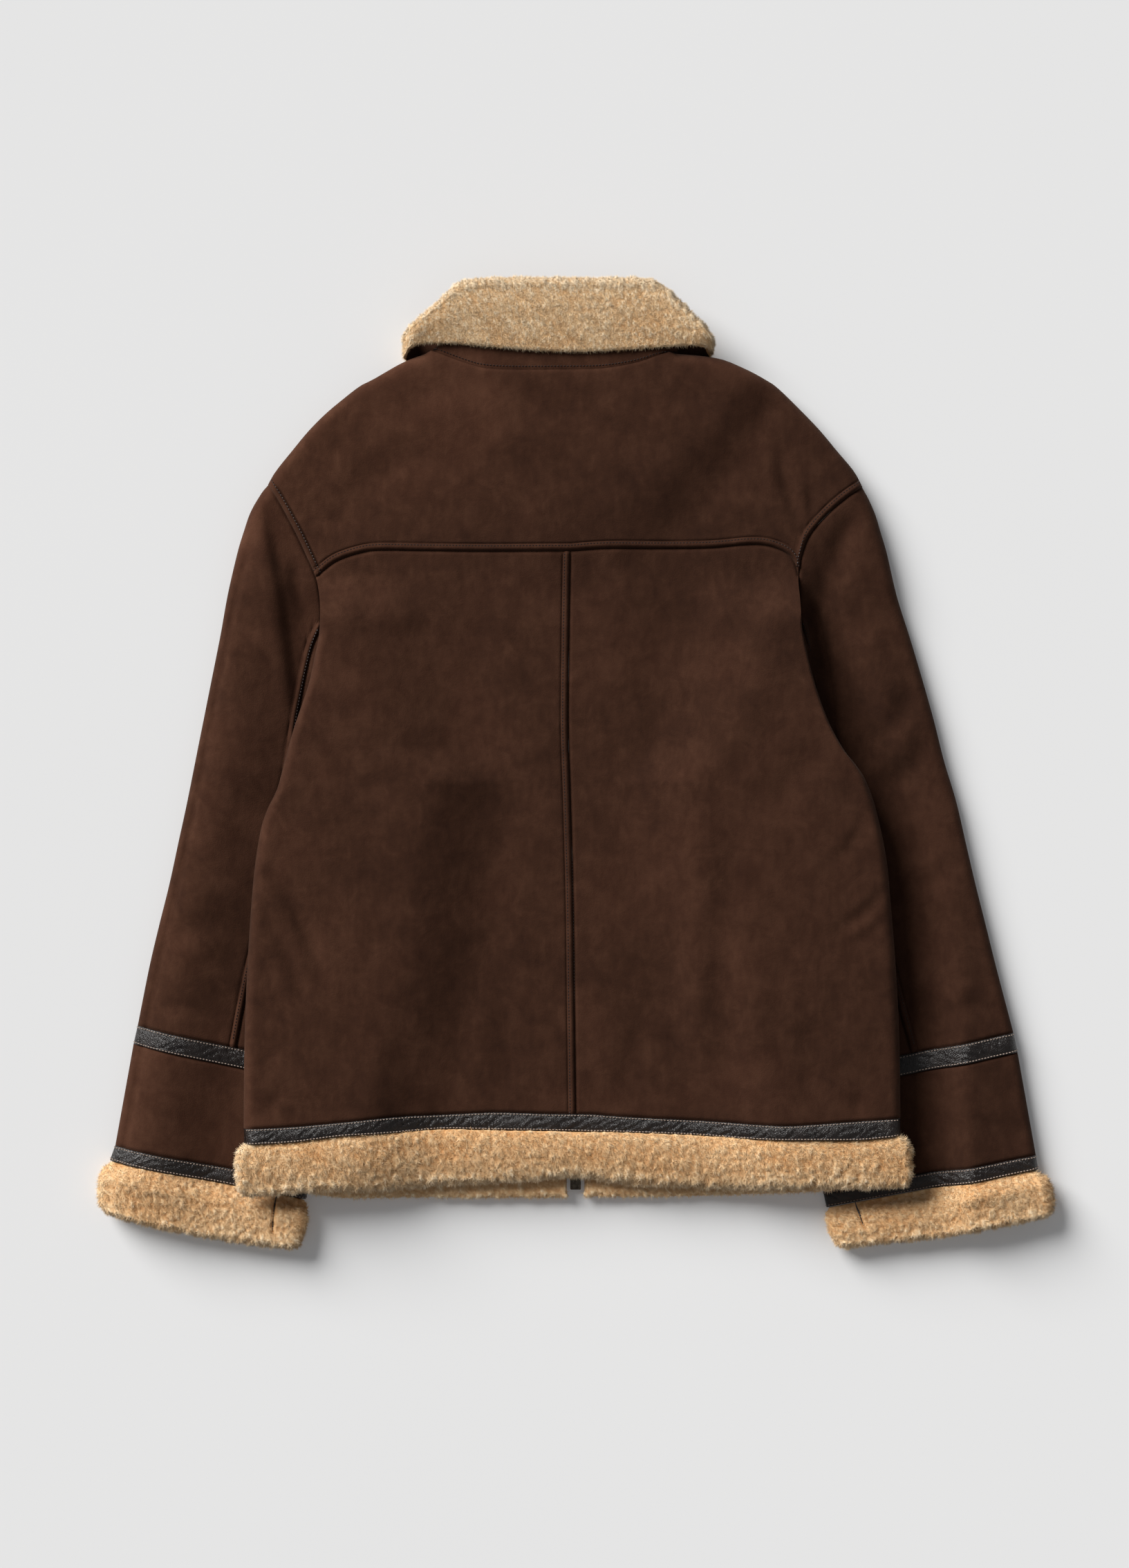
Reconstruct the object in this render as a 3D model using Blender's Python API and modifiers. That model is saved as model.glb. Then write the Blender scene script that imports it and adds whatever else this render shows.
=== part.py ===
"""Shearling jacket laid flat on its front, seen from the back.

+Z is up from the surface that it lies on, +Y runs towards the collar, and +X towards the wearer's
right. The origin is on that surface, under the middle of the jacket. All lengths are in metres.

Each cut piece is a closed wall between two grids of points, an outer and an inner one. In plan a
piece is a patch inside four edge lines. From the surface up lie the flattened sleeves, the fronts,
which rise over the sleeves at the sides, and the back. The collar is a flattened ring of four layers.
"""

import bmesh
import bpy
import numpy as np

# Layers, from the surface up
BODY_WALL = 0.0105
SIDE_WALL = 0.0085
BODY_SPACE = 0.0022
SLEEVE_HEIGHT = 0.0168
SLEEVE_HEAD_RISE = 0.0058
SLEEVE_PUFF = 0.0030
SLEEVE_SPACE = 0.0012
REST_SPACE = 0.0010
SEAM_GAP = 0.0003
ARMHOLE_GAP = 0.0004
FRONT_ARMHOLE_GAP = 0.0010

# How the body rises over the sleeves below it
LIFT_FULL = 0.018
LIFT_NONE = 0.100
ARM_LIFT_START_Y = 0.165
ARM_LIFT_FULL_Y = 0.118
FREE_EDGE_Y = (ARM_LIFT_FULL_Y + 0.012, ARM_LIFT_FULL_Y - 0.018)

# Collar
COLLAR_MIDDLE_X = -0.015
COLLAR_HALF_WIDTH = 0.133
FALL_EDGE_RADIUS = 0.006
FALL_COLUMNS = 13
STAND_TUCK = 0.001
FALL_WALL = 0.0094
FALL_HEIGHT_FOLD = 0.0385
FALL_HEIGHT_EDGE = 0.0405
STAND_WALL = 0.0086
STAND_FLOOR = 0.0101
STAND_HEIGHT_FOLD = 0.0186
STAND_HEIGHT_NECK = 0.0196
FRONT_FALL_POINT_Y = 0.250
FRONT_FALL_RISE = 0.085
COLLAR_LIFT_REACH = 0.110
COLLAR_LIFT_RUN = 0.080

# Hem and cuffs
BAND_RISE = 0.0006
FRONT_PILE = (0.0125, 0.0105)
HEM_PILE_SPACE = 0.0015
BACK_PILE = (0.0160, 0.0135)
CUFF_PILE_HEIGHT = 0.0260
CUFF_BAND_HEIGHT = 0.0176
SLEEVE_BAND_RISE = 0.0008
HEM_PILE_DEPTH = 0.045
PILE_CROWN = 0.28
CUFF_RUN = 0.35

# Rounded edges
FOLD_RADIUS = 0.010
PILE_RADIUS = 0.009
EDGE_SHARE = 0.12

# Seam shapes: distance from the seam, height above the panel
WELT = ((0.0, -0.0006), (0.0012, 0.0009), (0.0035, 0.0013), (0.0056, 0.0008), (0.0068, -0.0005),
        (0.010, 0.0))
PLAIN_SEAM = ((0.0, -0.0012), (0.0025, -0.0002), (0.010, 0.0))
ROUND_STOPS = (0.0, 0.0008, 0.003, 0.010)

# How the sleeve fills out: shares of its length, of its width, and distances clear of the body
HEAD_RUN = 0.45
PUFF_RUN = 0.12
PUFF_WIDTH = 0.5
PUFF_CLEAR = (0.004, 0.030)

# Spacing of the points: across the body, and down its sides in zones that end at a distance
ACROSS = 0.027
FRONT_ACROSS = 0.028
DOWN = 0.048
SIDE_ZONES = ((0.062, 0.0125), (0.200, 0.034))
FRONT_DOWN = 0.065
ARMHOLE_SPANS = 6
NECK_COLUMNS = 8
FRONT_NECK_SHARES = (0.0, 0.2, 0.4, 0.6, 0.8, 1.0)
SIDE_TOP_STOPS = (0.0, 0.0025)
SIDE_FOOT_STOPS = (0.0, 0.004)
FRONT_EDGE_STOPS = (0.0, 0.004)
PILE_FRONT_STOPS = (0.0, 0.002, 0.006)
PILE_TOP_STOPS = (0.0, 0.006)
PILE_STOPS = (0.0, 0.0008, 0.003, 0.009)
PILE_DOWN = 0.012
HEM_ACROSS = 0.031

# Rows down the smaller pieces, as shares of their depth, and the sleeves' rows and columns
HEM_BAND_ROWS = (0.0, 0.12, 0.88, 1.0)
BAND_ROWS = (0.0, 0.5, 1.0)
FOREARM_ROWS = (0.0, 0.33, 0.67, 1.0)
CUFF_ROWS = (0.0, 0.12, 0.30, 0.60, 0.85, 0.95, 1.0)
FALL_ROWS = (0.0, 0.015, 0.07, 0.30, 0.65, 0.93, 1.0)
STAND_ROWS = (0.0, 0.02, 0.12, 0.55, 1.0)
SLEEVE_TOP_ROWS = (0.0, 0.02)
SLEEVE_ROWS_START = 0.08
SLEEVE_ROWS = 10
UNDER_SLEEVE_SHARES = (0.52, 0.68, 0.86)
RING_UPPER = 8
RING_LOWER = 4
LEAST_SPAN = 0.01

# Zip, from the middle outwards and from its low face up, and its moving tab
FRONT_EDGE_X = 0.006
TAPE_X = (0.0031, 0.0057)
TAPE_Z = (0.0040, 0.0052)
TEETH_HALF = 0.0028
TEETH_Z = (0.0025, 0.0065)
ZIP_BOTTOM_Y = -0.3440
ZIP_EASE = 0.002
ZIP_BOX = (0.0090, 0.0140, 0.0050)
ZIP_BOX_Z = 0.0020
ZIP_BOX_BEVEL = 0.0008
ZIP_RISE_ROWS = 7
SLIDER_Y = (0.2690, 0.2810)
SLIDER_HALF = 0.0045
SLIDER_Z = (0.0002, 0.0037)
LUG_X = (0.0022, 0.0034)
LUG_LENGTH = 0.0030
LUG_DROP = 0.0025
LUG_SUNK = 0.0010
TAB_LENGTH = 0.028
TAB_HALF = 0.0035
TAB_EYE_HALF = 0.0019
TAB_EYE_LENGTH = 0.0048
TAB_EYE_TOP = 0.0012
TAB_SHOULDER = 0.0020
TAB_CORNER = (0.0022, 0.0030)
TAB_THICK = 0.0014
TAB_PIVOT_Y = 0.2750
TAB_PIVOT_DROP = 0.0015
TAB_REST_DEGREES = 14.5

# Edge lines in plan: x, y
LEFT_SHOULDER = ((-0.1216, 0.3498), (-0.1450, 0.3410), (-0.1699, 0.3270), (-0.1839, 0.3200),
                 (-0.2066, 0.3026), (-0.2246, 0.2851), (-0.2392, 0.2676), (-0.2532, 0.2501),
                 (-0.2600, 0.2385))
RIGHT_SHOULDER = ((0.0785, 0.3488), (0.1185, 0.3445), (0.1407, 0.3364), (0.1599, 0.3270),
                  (0.1710, 0.3200), (0.1890, 0.3026), (0.2059, 0.2851), (0.2205, 0.2676),
                  (0.2351, 0.2501), (0.2425, 0.2365))
BACK_NECK = ((-0.1216, 0.3498), (-0.1129, 0.3469), (-0.0946, 0.3401), (-0.0775, 0.3353),
             (-0.0526, 0.3338), (-0.0236, 0.3338), (0.0150, 0.3344), (0.0343, 0.3364), (0.0535, 0.3405),
             (0.0686, 0.3459), (0.0785, 0.3488))
LEFT_FRONT_NECK = ((-0.1216, 0.3498), (-0.1050, 0.3220), (-0.0750, 0.2990), (-0.0400, 0.2865),
                   (-0.0060, 0.2830))
RIGHT_FRONT_NECK = ((0.0785, 0.3488), (0.0700, 0.3220), (0.0520, 0.2990), (0.0300, 0.2870),
                    (0.0060, 0.2830))
LEFT_ARMHOLE = ((-0.2600, 0.2385), (-0.2504, 0.2241), (-0.2360, 0.1975), (-0.2273, 0.1789),
                (-0.2190, 0.1600))
RIGHT_ARMHOLE = ((0.2425, 0.2365), (0.2277, 0.2264), (0.2126, 0.2131), (0.1982, 0.1969),
                 (0.1918, 0.1824), (0.1877, 0.1620))
LEFT_YOKE_SEAM = ((-0.2190, 0.1600), (-0.2131, 0.1650), (-0.2015, 0.1735), (-0.1839, 0.1798),
                  (-0.1663, 0.1825), (-0.1252, 0.1821), (-0.0669, 0.1815), (-0.0044, 0.1817))
RIGHT_YOKE_SEAM = ((0.1877, 0.1620), (0.1846, 0.1729), (0.1776, 0.1804), (0.1626, 0.1862),
                   (0.1453, 0.1873), (0.1129, 0.1845), (0.0690, 0.1839), (0.0250, 0.1838),
                   (-0.0044, 0.1817))
CENTRE_SEAM = ((-0.0044, 0.1817), (-0.0056, 0.1036), (-0.0062, 0.0342), (-0.0044, -0.0237),
               (-0.0021, -0.1104), (-0.0010, -0.1972), (0.0002, -0.2925))
LEFT_SIDE = ((-0.2190, 0.1600), (-0.2157, 0.1454), (-0.2141, 0.1300), (-0.2150, 0.1130),
             (-0.2188, 0.0951), (-0.2245, 0.0690), (-0.2361, 0.0343), (-0.2437, 0.0082),
             (-0.2506, -0.0179), (-0.2593, -0.0364), (-0.2650, -0.0550), (-0.2700, -0.0880),
             (-0.2738, -0.1337), (-0.2767, -0.1859), (-0.2784, -0.2380), (-0.2790, -0.3035))
RIGHT_SIDE = ((0.1877, 0.1620), (0.1885, 0.1400), (0.1896, 0.1180), (0.1937, 0.0980), (0.2012, 0.0690),
              (0.2128, 0.0372), (0.2255, 0.0140), (0.2360, 0.0007), (0.2441, -0.0121), (0.2522, -0.0353),
              (0.2609, -0.0758), (0.2649, -0.1163), (0.2690, -0.1685), (0.2719, -0.2264),
              (0.2730, -0.2945))
LEFT_BAND_TOP = ((-0.2790, -0.3035), (-0.2372, -0.3015), (-0.1950, -0.2977), (-0.1529, -0.2939),
                 (-0.1107, -0.2928), (-0.0686, -0.2911), (-0.0264, -0.2922), (0.0002, -0.2925))
RIGHT_BAND_TOP = ((0.2730, -0.2945), (0.2231, -0.2977), (0.1804, -0.3006), (0.1521, -0.3000),
                  (0.0949, -0.2974), (0.0383, -0.2945), (0.0158, -0.2928), (0.0002, -0.2925))
LEFT_BAND_FOOT = ((-0.2780, -0.3168), (-0.2372, -0.3147), (-0.1950, -0.3095), (-0.1529, -0.3075),
                  (-0.1107, -0.3052), (-0.0686, -0.3060), (-0.0264, -0.3066), (0.0002, -0.3072))
RIGHT_BAND_FOOT = ((0.2730, -0.3095), (0.2400, -0.3128), (0.2093, -0.3130), (0.1521, -0.3128),
                   (0.0949, -0.3101), (0.0383, -0.3080), (0.0158, -0.3076), (0.0002, -0.3072))
LEFT_PILE_END = ((-0.2780, -0.3168), (-0.2862, -0.3250), (-0.2870, -0.3400), (-0.2860, -0.3540),
                 (-0.2800, -0.3620))
RIGHT_PILE_END = ((0.2730, -0.3095), (0.2825, -0.3160), (0.2845, -0.3290), (0.2840, -0.3440),
                  (0.2785, -0.3545))
BACK_PILE_FOOT = ((-0.2800, -0.3620), (-0.2572, -0.3610), (-0.2276, -0.3587), (-0.1975, -0.3570),
                  (-0.1575, -0.3576), (-0.1175, -0.3547), (-0.0775, -0.3529), (-0.0375, -0.3506),
                  (-0.0079, -0.3477), (0.0118, -0.3483), (0.0431, -0.3535), (0.0843, -0.3558),
                  (0.1260, -0.3568), (0.1880, -0.3547), (0.2292, -0.3558), (0.2785, -0.3545))
FRONT_FOOT_Y = -0.3060
FRONT_BAND_FOOT_Y = -0.3195
LEFT_PILE_FOOT = ((-0.2760, -0.3520), (-0.2300, -0.3570), (-0.1990, -0.3630), (-0.1000, -0.3650),
                   (-0.0075, -0.3650))
RIGHT_PILE_FOOT = ((0.2720, -0.3480), (0.2200, -0.3560), (0.1500, -0.3610), (0.0800, -0.3640),
                         (0.0075, -0.3645))
PILE_EDGE_X = 0.0075

# Collar lines: the fall's fold and lower edge at the back, then its front ends
FALL_FOLD = ((-0.1455, 0.3600), (-0.1438, 0.3630), (-0.1360, 0.3710), (-0.1150, 0.3905),
             (-0.1010, 0.4035), (-0.0870, 0.4093), (-0.0500, 0.4110), (0.0150, 0.4110), (0.0560, 0.4105),
             (0.0725, 0.4055), (0.0870, 0.3914), (0.1050, 0.3728), (0.1145, 0.3605), (0.1160, 0.3545))
FALL_EDGE = ((-0.1454, 0.3440), (-0.1385, 0.3526), (-0.1285, 0.3550), (-0.1002, 0.3549),
             (-0.0716, 0.3520), (-0.0426, 0.3497), (-0.0137, 0.3481), (0.0150, 0.3481), (0.0436, 0.3497),
             (0.0726, 0.3520), (0.1003, 0.3539), (0.1105, 0.3528), (0.1162, 0.3482))
LEFT_FALL_FRONT_FOLD = ((-0.1455, 0.3600), (-0.1100, 0.3660), (-0.0600, 0.3650), (-0.0080, 0.3620))
LEFT_FALL_FRONT_EDGE = ((-0.1454, 0.3440), (-0.1250, 0.3180), (-0.0850, 0.2810), (-0.0360, 0.2510))
RIGHT_FALL_FRONT_FOLD = ((0.1160, 0.3545), (0.0900, 0.3640), (0.0500, 0.3650), (0.0080, 0.3620))
RIGHT_FALL_FRONT_EDGE = ((0.1162, 0.3482), (0.1030, 0.3260), (0.0720, 0.2830), (0.0340, 0.2530))
STAND_NARROWING = 0.77

# Sleeves. The head runs from the shoulder along the armhole seam to the hidden underarm point.
# Each cross line is given by its end on the outer edge and its end on the inner edge.
SLEEVES = {
    "left": {
        "head": ((-0.2600, 0.2385), (-0.2504, 0.2241), (-0.2360, 0.1975), (-0.2273, 0.1789),
                 (-0.2190, 0.1600), (-0.2157, 0.1454), (-0.2141, 0.1300), (-0.2150, 0.1130),
                 (-0.2080, 0.0850), (-0.1970, 0.0500), (-0.1800, 0.0150), (-0.1500, -0.0120)),
        "outer": ((-0.2600, 0.2385), (-0.2660, 0.2310), (-0.2742, 0.2157), (-0.2794, 0.1981),
                  (-0.2841, 0.1806), (-0.2923, 0.1456), (-0.2987, 0.1106), (-0.3057, 0.0755),
                  (-0.3127, 0.0405), (-0.3197, 0.0055), (-0.3267, -0.0296), (-0.3343, -0.0646),
                  (-0.3419, -0.0997), (-0.3506, -0.1347), (-0.3588, -0.1697), (-0.3685, -0.2185)),
        "inner": ((-0.1500, -0.0120), (-0.1550, -0.0600), (-0.1630, -0.1200), (-0.1920, -0.2590)),
        "band_top": ((-0.3685, -0.2185), (-0.1920, -0.2590)),
        "band_foot": ((-0.3720, -0.2340), (-0.1960, -0.2750)),
        "cuff_band_top": ((-0.3875, -0.3200), (-0.2250, -0.3530)),
        "cuff_band_foot": ((-0.3920, -0.3325), (-0.2285, -0.3660)),
        "cuff_outer": ((-0.3925, -0.3330), (-0.4020, -0.3410), (-0.4045, -0.3560), (-0.4035, -0.3700),
                       (-0.3960, -0.3780)),
        "cuff_inner": ((-0.2290, -0.3665), (-0.2260, -0.3760), (-0.2265, -0.3900), (-0.2330, -0.4090)),
        "cuff_foot": ((-0.3960, -0.3780), (-0.3600, -0.3880), (-0.3224, -0.3966), (-0.2755, -0.4045),
                      (-0.2330, -0.4090)),
        "fold": ((-0.2658, 0.2145), (-0.2600, 0.1854), (-0.2542, 0.1564), (-0.2496, 0.1215),
                 (-0.2443, 0.0751), (-0.2397, 0.0344)),
    },
    "right": {
        "head": ((0.2425, 0.2365), (0.2277, 0.2264), (0.2126, 0.2131), (0.1982, 0.1969),
                 (0.1918, 0.1824), (0.1877, 0.1620), (0.1885, 0.1400), (0.1896, 0.1180),
                 (0.1840, 0.0850), (0.1730, 0.0500), (0.1560, 0.0150), (0.1280, -0.0120)),
        "outer": ((0.2425, 0.2365), (0.2480, 0.2260), (0.2530, 0.2130), (0.2570, 0.1970),
                  (0.2613, 0.1806), (0.2695, 0.1456), (0.2806, 0.1106), (0.2911, 0.0755),
                  (0.3010, 0.0405), (0.3098, 0.0055), (0.3203, -0.0296), (0.3284, -0.0646),
                  (0.3366, -0.0997), (0.3454, -0.1347), (0.3541, -0.1697), (0.3685, -0.2245)),
        "inner": ((0.1280, -0.0120), (0.1350, -0.0600), (0.1450, -0.1200), (0.1870, -0.2640)),
        "band_top": ((0.3685, -0.2245), (0.1870, -0.2640)),
        "band_foot": ((0.3720, -0.2410), (0.1920, -0.2800)),
        "cuff_band_top": ((0.3875, -0.3280), (0.2100, -0.3600)),
        "cuff_band_foot": ((0.3895, -0.3400), (0.2130, -0.3735)),
        "cuff_outer": ((0.3900, -0.3405), (0.4000, -0.3470), (0.4050, -0.3600), (0.4050, -0.3735),
                       (0.3980, -0.3810)),
        "cuff_inner": ((0.2135, -0.3740), (0.2110, -0.3800), (0.2130, -0.3930), (0.2220, -0.4080)),
        "cuff_foot": ((0.3980, -0.3810), (0.3560, -0.3890), (0.3106, -0.3980), (0.2660, -0.4030),
                      (0.2220, -0.4080)),
        "fold": ((0.1989, 0.1564), (0.2105, 0.1274), (0.2181, 0.0925), (0.2227, 0.0576), (0.2262, 0.0199)),
    },
}
SLEEVE_SEAM = 0.47
SLEEVE_FRONT_SEAM = 0.50
SLEEVE_FOLD_WIDTH = 0.011
SLEEVE_FOLD_DEPTH = 0.0050

# Largest soft folds of the back: start x, start y, end x, end y, width, depth
BACK_FOLDS = (
    (0.1270, -0.0650, 0.1270, -0.2650, 0.016, 0.0026),
    (-0.2500, -0.0880, -0.2070, -0.1810, 0.013, 0.0022),
    (-0.1150, 0.2650, -0.2050, 0.2050, 0.018, 0.0016),
    (0.1100, 0.2500, 0.1900, 0.2050, 0.016, 0.0016),
    (-0.2150, 0.0400, -0.1500, -0.0300, 0.018, 0.0018),
    (0.2050, 0.0200, 0.1500, -0.0400, 0.018, 0.0018),
)

# Surface finishes: colour, roughness, metallic
FINISHES = {
    "suede": ((0.056, 0.023, 0.012), 0.95, 0.0),
    "leather": ((0.022, 0.015, 0.013), 0.40, 0.0),
    "pile": ((0.610, 0.430, 0.235), 1.0, 0.0),
    "tape": ((0.020, 0.013, 0.010), 0.85, 0.0),
    "metal": ((0.420, 0.370, 0.290), 0.35, 1.0),
}


# Lines and patches in plan

def smooth(points, steps=14):
    """Dense smooth line through the points, each span a cubic set by its neighbours."""
    p = np.asarray(points, float)
    p = np.vstack([2 * p[0] - p[1], p, 2 * p[-1] - p[-2]])
    t = np.linspace(0, 1, steps, endpoint=False)[:, None]
    spans = [0.5 * (2 * b + (c - a) * t + (2 * a - 5 * b + 4 * c - d) * t**2 + (3 * b - a - 3 * c + d) * t**3)
             for a, b, c, d in zip(p[:-3], p[1:-2], p[2:-1], p[3:])]
    return np.vstack(spans + [p[-2:-1]])


def split_at(first, second, steps=14):
    """Two lines that meet end to end, cut from one smooth line through both."""
    whole = smooth((*first, *second[1:]), steps)
    cut = (len(first) - 1) * steps
    return whole[:cut + 1], whole[cut:]


def joined(*lines):
    """One line from lines that meet end to end, with a corner where they meet."""
    return np.vstack([line[:-1] for line in lines[:-1]] + [lines[-1]])


def length_of(line):
    return np.linalg.norm(np.diff(line, axis=0), axis=1).sum()


def along(line, shares):
    """Points at shares of a line's length."""
    run = np.insert(np.cumsum(np.linalg.norm(np.diff(line, axis=0), axis=1)), 0, 0.0)
    at = np.asarray(shares) * run[-1]
    return np.stack([np.interp(at, run, line[:, 0]), np.interp(at, run, line[:, 1])], axis=-1)


def patch(u, v, top, foot, start, end):
    """Plan points at shares u across and v down a patch inside four lines.

    top and foot run across, start and end run down from top to foot. The corners are counted once.
    """
    u, v = np.broadcast_arrays(u, v)
    across = (1 - v)[..., None] * along(top, u) + v[..., None] * along(foot, u)
    down = (1 - u)[..., None] * along(start, v) + u[..., None] * along(end, v)
    corners = ((1 - u) * (1 - v))[..., None] * top[0] + (u * (1 - v))[..., None] * top[-1]
    corners = corners + ((1 - u) * v)[..., None] * foot[0] + (u * v)[..., None] * foot[-1]
    return across + down - corners


def stops(length, near, far, spacing, zones=()):
    """Shares of a length: at the given distances from each end, and evenly spaced between.

    zones near the start may have a spacing of their own, each up to its own end.
    """
    marks = list(near)
    for end, step in (*zones, (length - far[-1], spacing)):
        count = max(1, round((end - marks[-1]) / step))
        marks += list(np.linspace(marks[-1], end, count + 1)[1:])
    marks += [length - distance for distance in far[-2::-1]]
    return np.array(marks) / length


def spread(length, near, far, spans):
    """Shares of a length: at the given distances from each end, with even spans between.

    For a row of lengths, the result has a column of shares for each.
    """
    length = np.asarray(length, float)
    first, last = near[-1], length - far[-1]
    marks = [*near, *(first + (last - first) * k / spans for k in range(1, spans))]
    marks += [length - distance for distance in far[::-1]]
    return np.stack([np.broadcast_to(mark, length.shape) for mark in marks]) / length


def row_lengths(lines, u, v):
    """Length of each row v of a patch, measured along the columns u."""
    rows = patch(np.asarray(u)[None, :], np.asarray(v)[:, None], *lines)
    return np.linalg.norm(np.diff(rows, axis=1), axis=2).sum(axis=1)


def inset(plan, gap, rows=(True, True), columns=(True, True)):
    """Plan grid with its border moved in by a seam gap."""
    plan = plan.copy()
    for chosen, edge, inner in ((rows[0], 0, 1), (rows[1], -1, -2)):
        if chosen:
            way = plan[inner] - plan[edge]
            plan[edge] += way / np.linalg.norm(way, axis=-1, keepdims=True) * gap
    for chosen, edge, inner in ((columns[0], 0, 1), (columns[1], -1, -2)):
        if chosen:
            way = plan[:, inner] - plan[:, edge]
            plan[:, edge] += way / np.linalg.norm(way, axis=-1, keepdims=True) * gap
    return plan


def run_in(plan, axis, from_end=False):
    """Distance of each grid point from one border, measured along its grid line."""
    steps = np.linalg.norm(np.diff(plan, axis=axis), axis=2)
    run = np.insert(np.cumsum(steps, axis=axis), 0, 0.0, axis=axis)
    if from_end:
        run = np.take(run, [-1], axis=axis) - run
    return run


# Heights

def ramp(value, start, end):
    """0 up to start, 1 from end on, and smooth between."""
    t = np.clip((value - start) / (end - start), 0, 1)
    return t * t * (3 - 2 * t)


def rounded(distance, radius=FOLD_RADIUS):
    """Share of a wall's thickness left at a distance from its rounded edge."""
    t = 1 - np.clip(distance / radius, 0, 1)
    return EDGE_SHARE + (1 - EDGE_SHARE) * np.sqrt(1 - t * t)


def seam_height(distance, shape):
    table = np.array(shape)
    return np.interp(distance, table[:, 0], table[:, 1])


def trough(x, y, rows):
    """Depth of soft folds: each row is a straight valley whose depth dies off as a bell."""
    depth = np.zeros_like(x)
    for x0, y0, x1, y1, width, deep in rows:
        dx, dy = x1 - x0, y1 - y0
        t = np.clip(((x - x0) * dx + (y - y0) * dy) / (dx * dx + dy * dy), 0, 1)
        away = np.hypot(x - x0 - t * dx, y - y0 - t * dy)
        depth = np.maximum(depth, deep * np.exp(-(away / width) ** 2) * np.sin(np.pi * (0.1 + 0.8 * t)))
    return depth


def sleeve_inner_x(side, y):
    """x of the sleeve's hidden inner border at a height y of the plan."""
    sleeve = SLEEVES[side]
    rows = [sleeve["cuff_inner"][-1], sleeve["cuff_band_foot"][1], sleeve["band_foot"][1]]
    rows += list(sleeve["inner"][::-1]) + list(sleeve["head"][-2:6:-1])
    table = np.array(rows)
    return np.interp(y, table[:, 1], table[:, 0])


def sleeve_lift(x, y):
    """1 where a sleeve lies under the body, 0 away from it."""
    left = ramp(x - sleeve_inner_x("left", y), LIFT_NONE, LIFT_FULL)
    right = ramp(sleeve_inner_x("right", y) - x, LIFT_NONE, LIFT_FULL)
    return ramp(y, ARM_LIFT_START_Y, ARM_LIFT_FULL_Y) * np.maximum(left, right)


def collar_lift(x, y):
    """1 where the collar's front ends lie under the body, 0 away from them."""
    edge_y = FRONT_FALL_POINT_Y + FRONT_FALL_RISE * ((x - COLLAR_MIDDLE_X) / COLLAR_HALF_WIDTH) ** 2
    return ramp(y, edge_y - COLLAR_LIFT_REACH, edge_y - COLLAR_LIFT_REACH + COLLAR_LIFT_RUN)


def front_outer(x, y):
    return (SLEEVE_HEIGHT + REST_SPACE) * sleeve_lift(x, y) + STAND_FLOOR * collar_lift(x, y)


def body_wall(x, y):
    raised = np.maximum(sleeve_lift(x, y), collar_lift(x, y))
    return BODY_WALL - (BODY_WALL - SIDE_WALL) * raised


def front_inner(x, y):
    return front_outer(x, y) + body_wall(x, y)


def back_inner(x, y):
    return front_inner(x, y) + BODY_SPACE


def back_outer(x, y):
    return back_inner(x, y) + body_wall(x, y) - trough(x, y, BACK_FOLDS)


def pile_share(x, y, sizes):
    """A pile depth that is the first size on the flat and the second over a sleeve."""
    return sizes[0] + (sizes[1] - sizes[0]) * sleeve_lift(x, y)


# Walls

def new_object(name, mesh, finish):
    colour, roughness, metallic = FINISHES[finish]
    material = bpy.data.materials.new(name + "_" + finish)
    material.use_nodes = True
    shader = material.node_tree.nodes["Principled BSDF"]
    shader.inputs["Base Color"].default_value = (*colour, 1.0)
    shader.inputs["Roughness"].default_value = roughness
    shader.inputs["Metallic"].default_value = metallic
    mesh.materials.append(material)
    piece = bpy.data.objects.new(name, mesh)
    jacket.objects.link(piece)
    return piece


def wall(name, outer, inner, finish, closed=False):
    """Closed wall between two grids of points. A closed wall joins its last column to its first."""
    rows, columns = outer.shape[:2]
    form = bmesh.new()
    skins = [[[form.verts.new(point) for point in row] for row in grid] for grid in (outer, inner)]
    over, under = skins
    spans = columns if closed else columns - 1
    for i in range(rows - 1):
        for j in range(spans):
            k = (j + 1) % columns
            form.faces.new((over[i][j], over[i + 1][j], over[i + 1][k], over[i][k]))
            form.faces.new((under[i][j], under[i][k], under[i + 1][k], under[i + 1][j]))
    for j in range(spans):
        k = (j + 1) % columns
        form.faces.new((over[0][j], over[0][k], under[0][k], under[0][j]))
        form.faces.new((over[-1][k], over[-1][j], under[-1][j], under[-1][k]))
    if not closed:
        for i in range(rows - 1):
            form.faces.new((over[i + 1][0], over[i][0], under[i][0], under[i + 1][0]))
            form.faces.new((over[i][-1], over[i + 1][-1], under[i + 1][-1], under[i][-1]))
    bmesh.ops.recalc_face_normals(form, faces=form.faces)
    bmesh.ops.triangulate(form, faces=form.faces)
    mesh = bpy.data.meshes.new(name)
    form.to_mesh(mesh)
    form.free()
    mesh.shade_smooth()
    mesh.set_sharp_from_angle(angle=np.radians(40))
    return new_object(name, mesh, finish)


def panel(name, plan, inner, outer, finish, share=1.0):
    """Wall between two heights over a plan grid. share thins it from its outer side."""
    low = np.dstack([plan, inner])
    high = np.dstack([plan, inner + (outer - inner) * share])
    return wall(name, high, low, finish)


# Body

WELT_STOPS = [distance for distance, height in WELT]
PLAIN_STOPS = [distance for distance, height in PLAIN_SEAM]
EDGE_LINES = {
    "left": (LEFT_SHOULDER, LEFT_ARMHOLE, LEFT_SIDE, LEFT_YOKE_SEAM, LEFT_BAND_TOP, LEFT_FRONT_NECK),
    "right": (RIGHT_SHOULDER, RIGHT_ARMHOLE, RIGHT_SIDE, RIGHT_YOKE_SEAM, RIGHT_BAND_TOP, RIGHT_FRONT_NECK),
}


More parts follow.
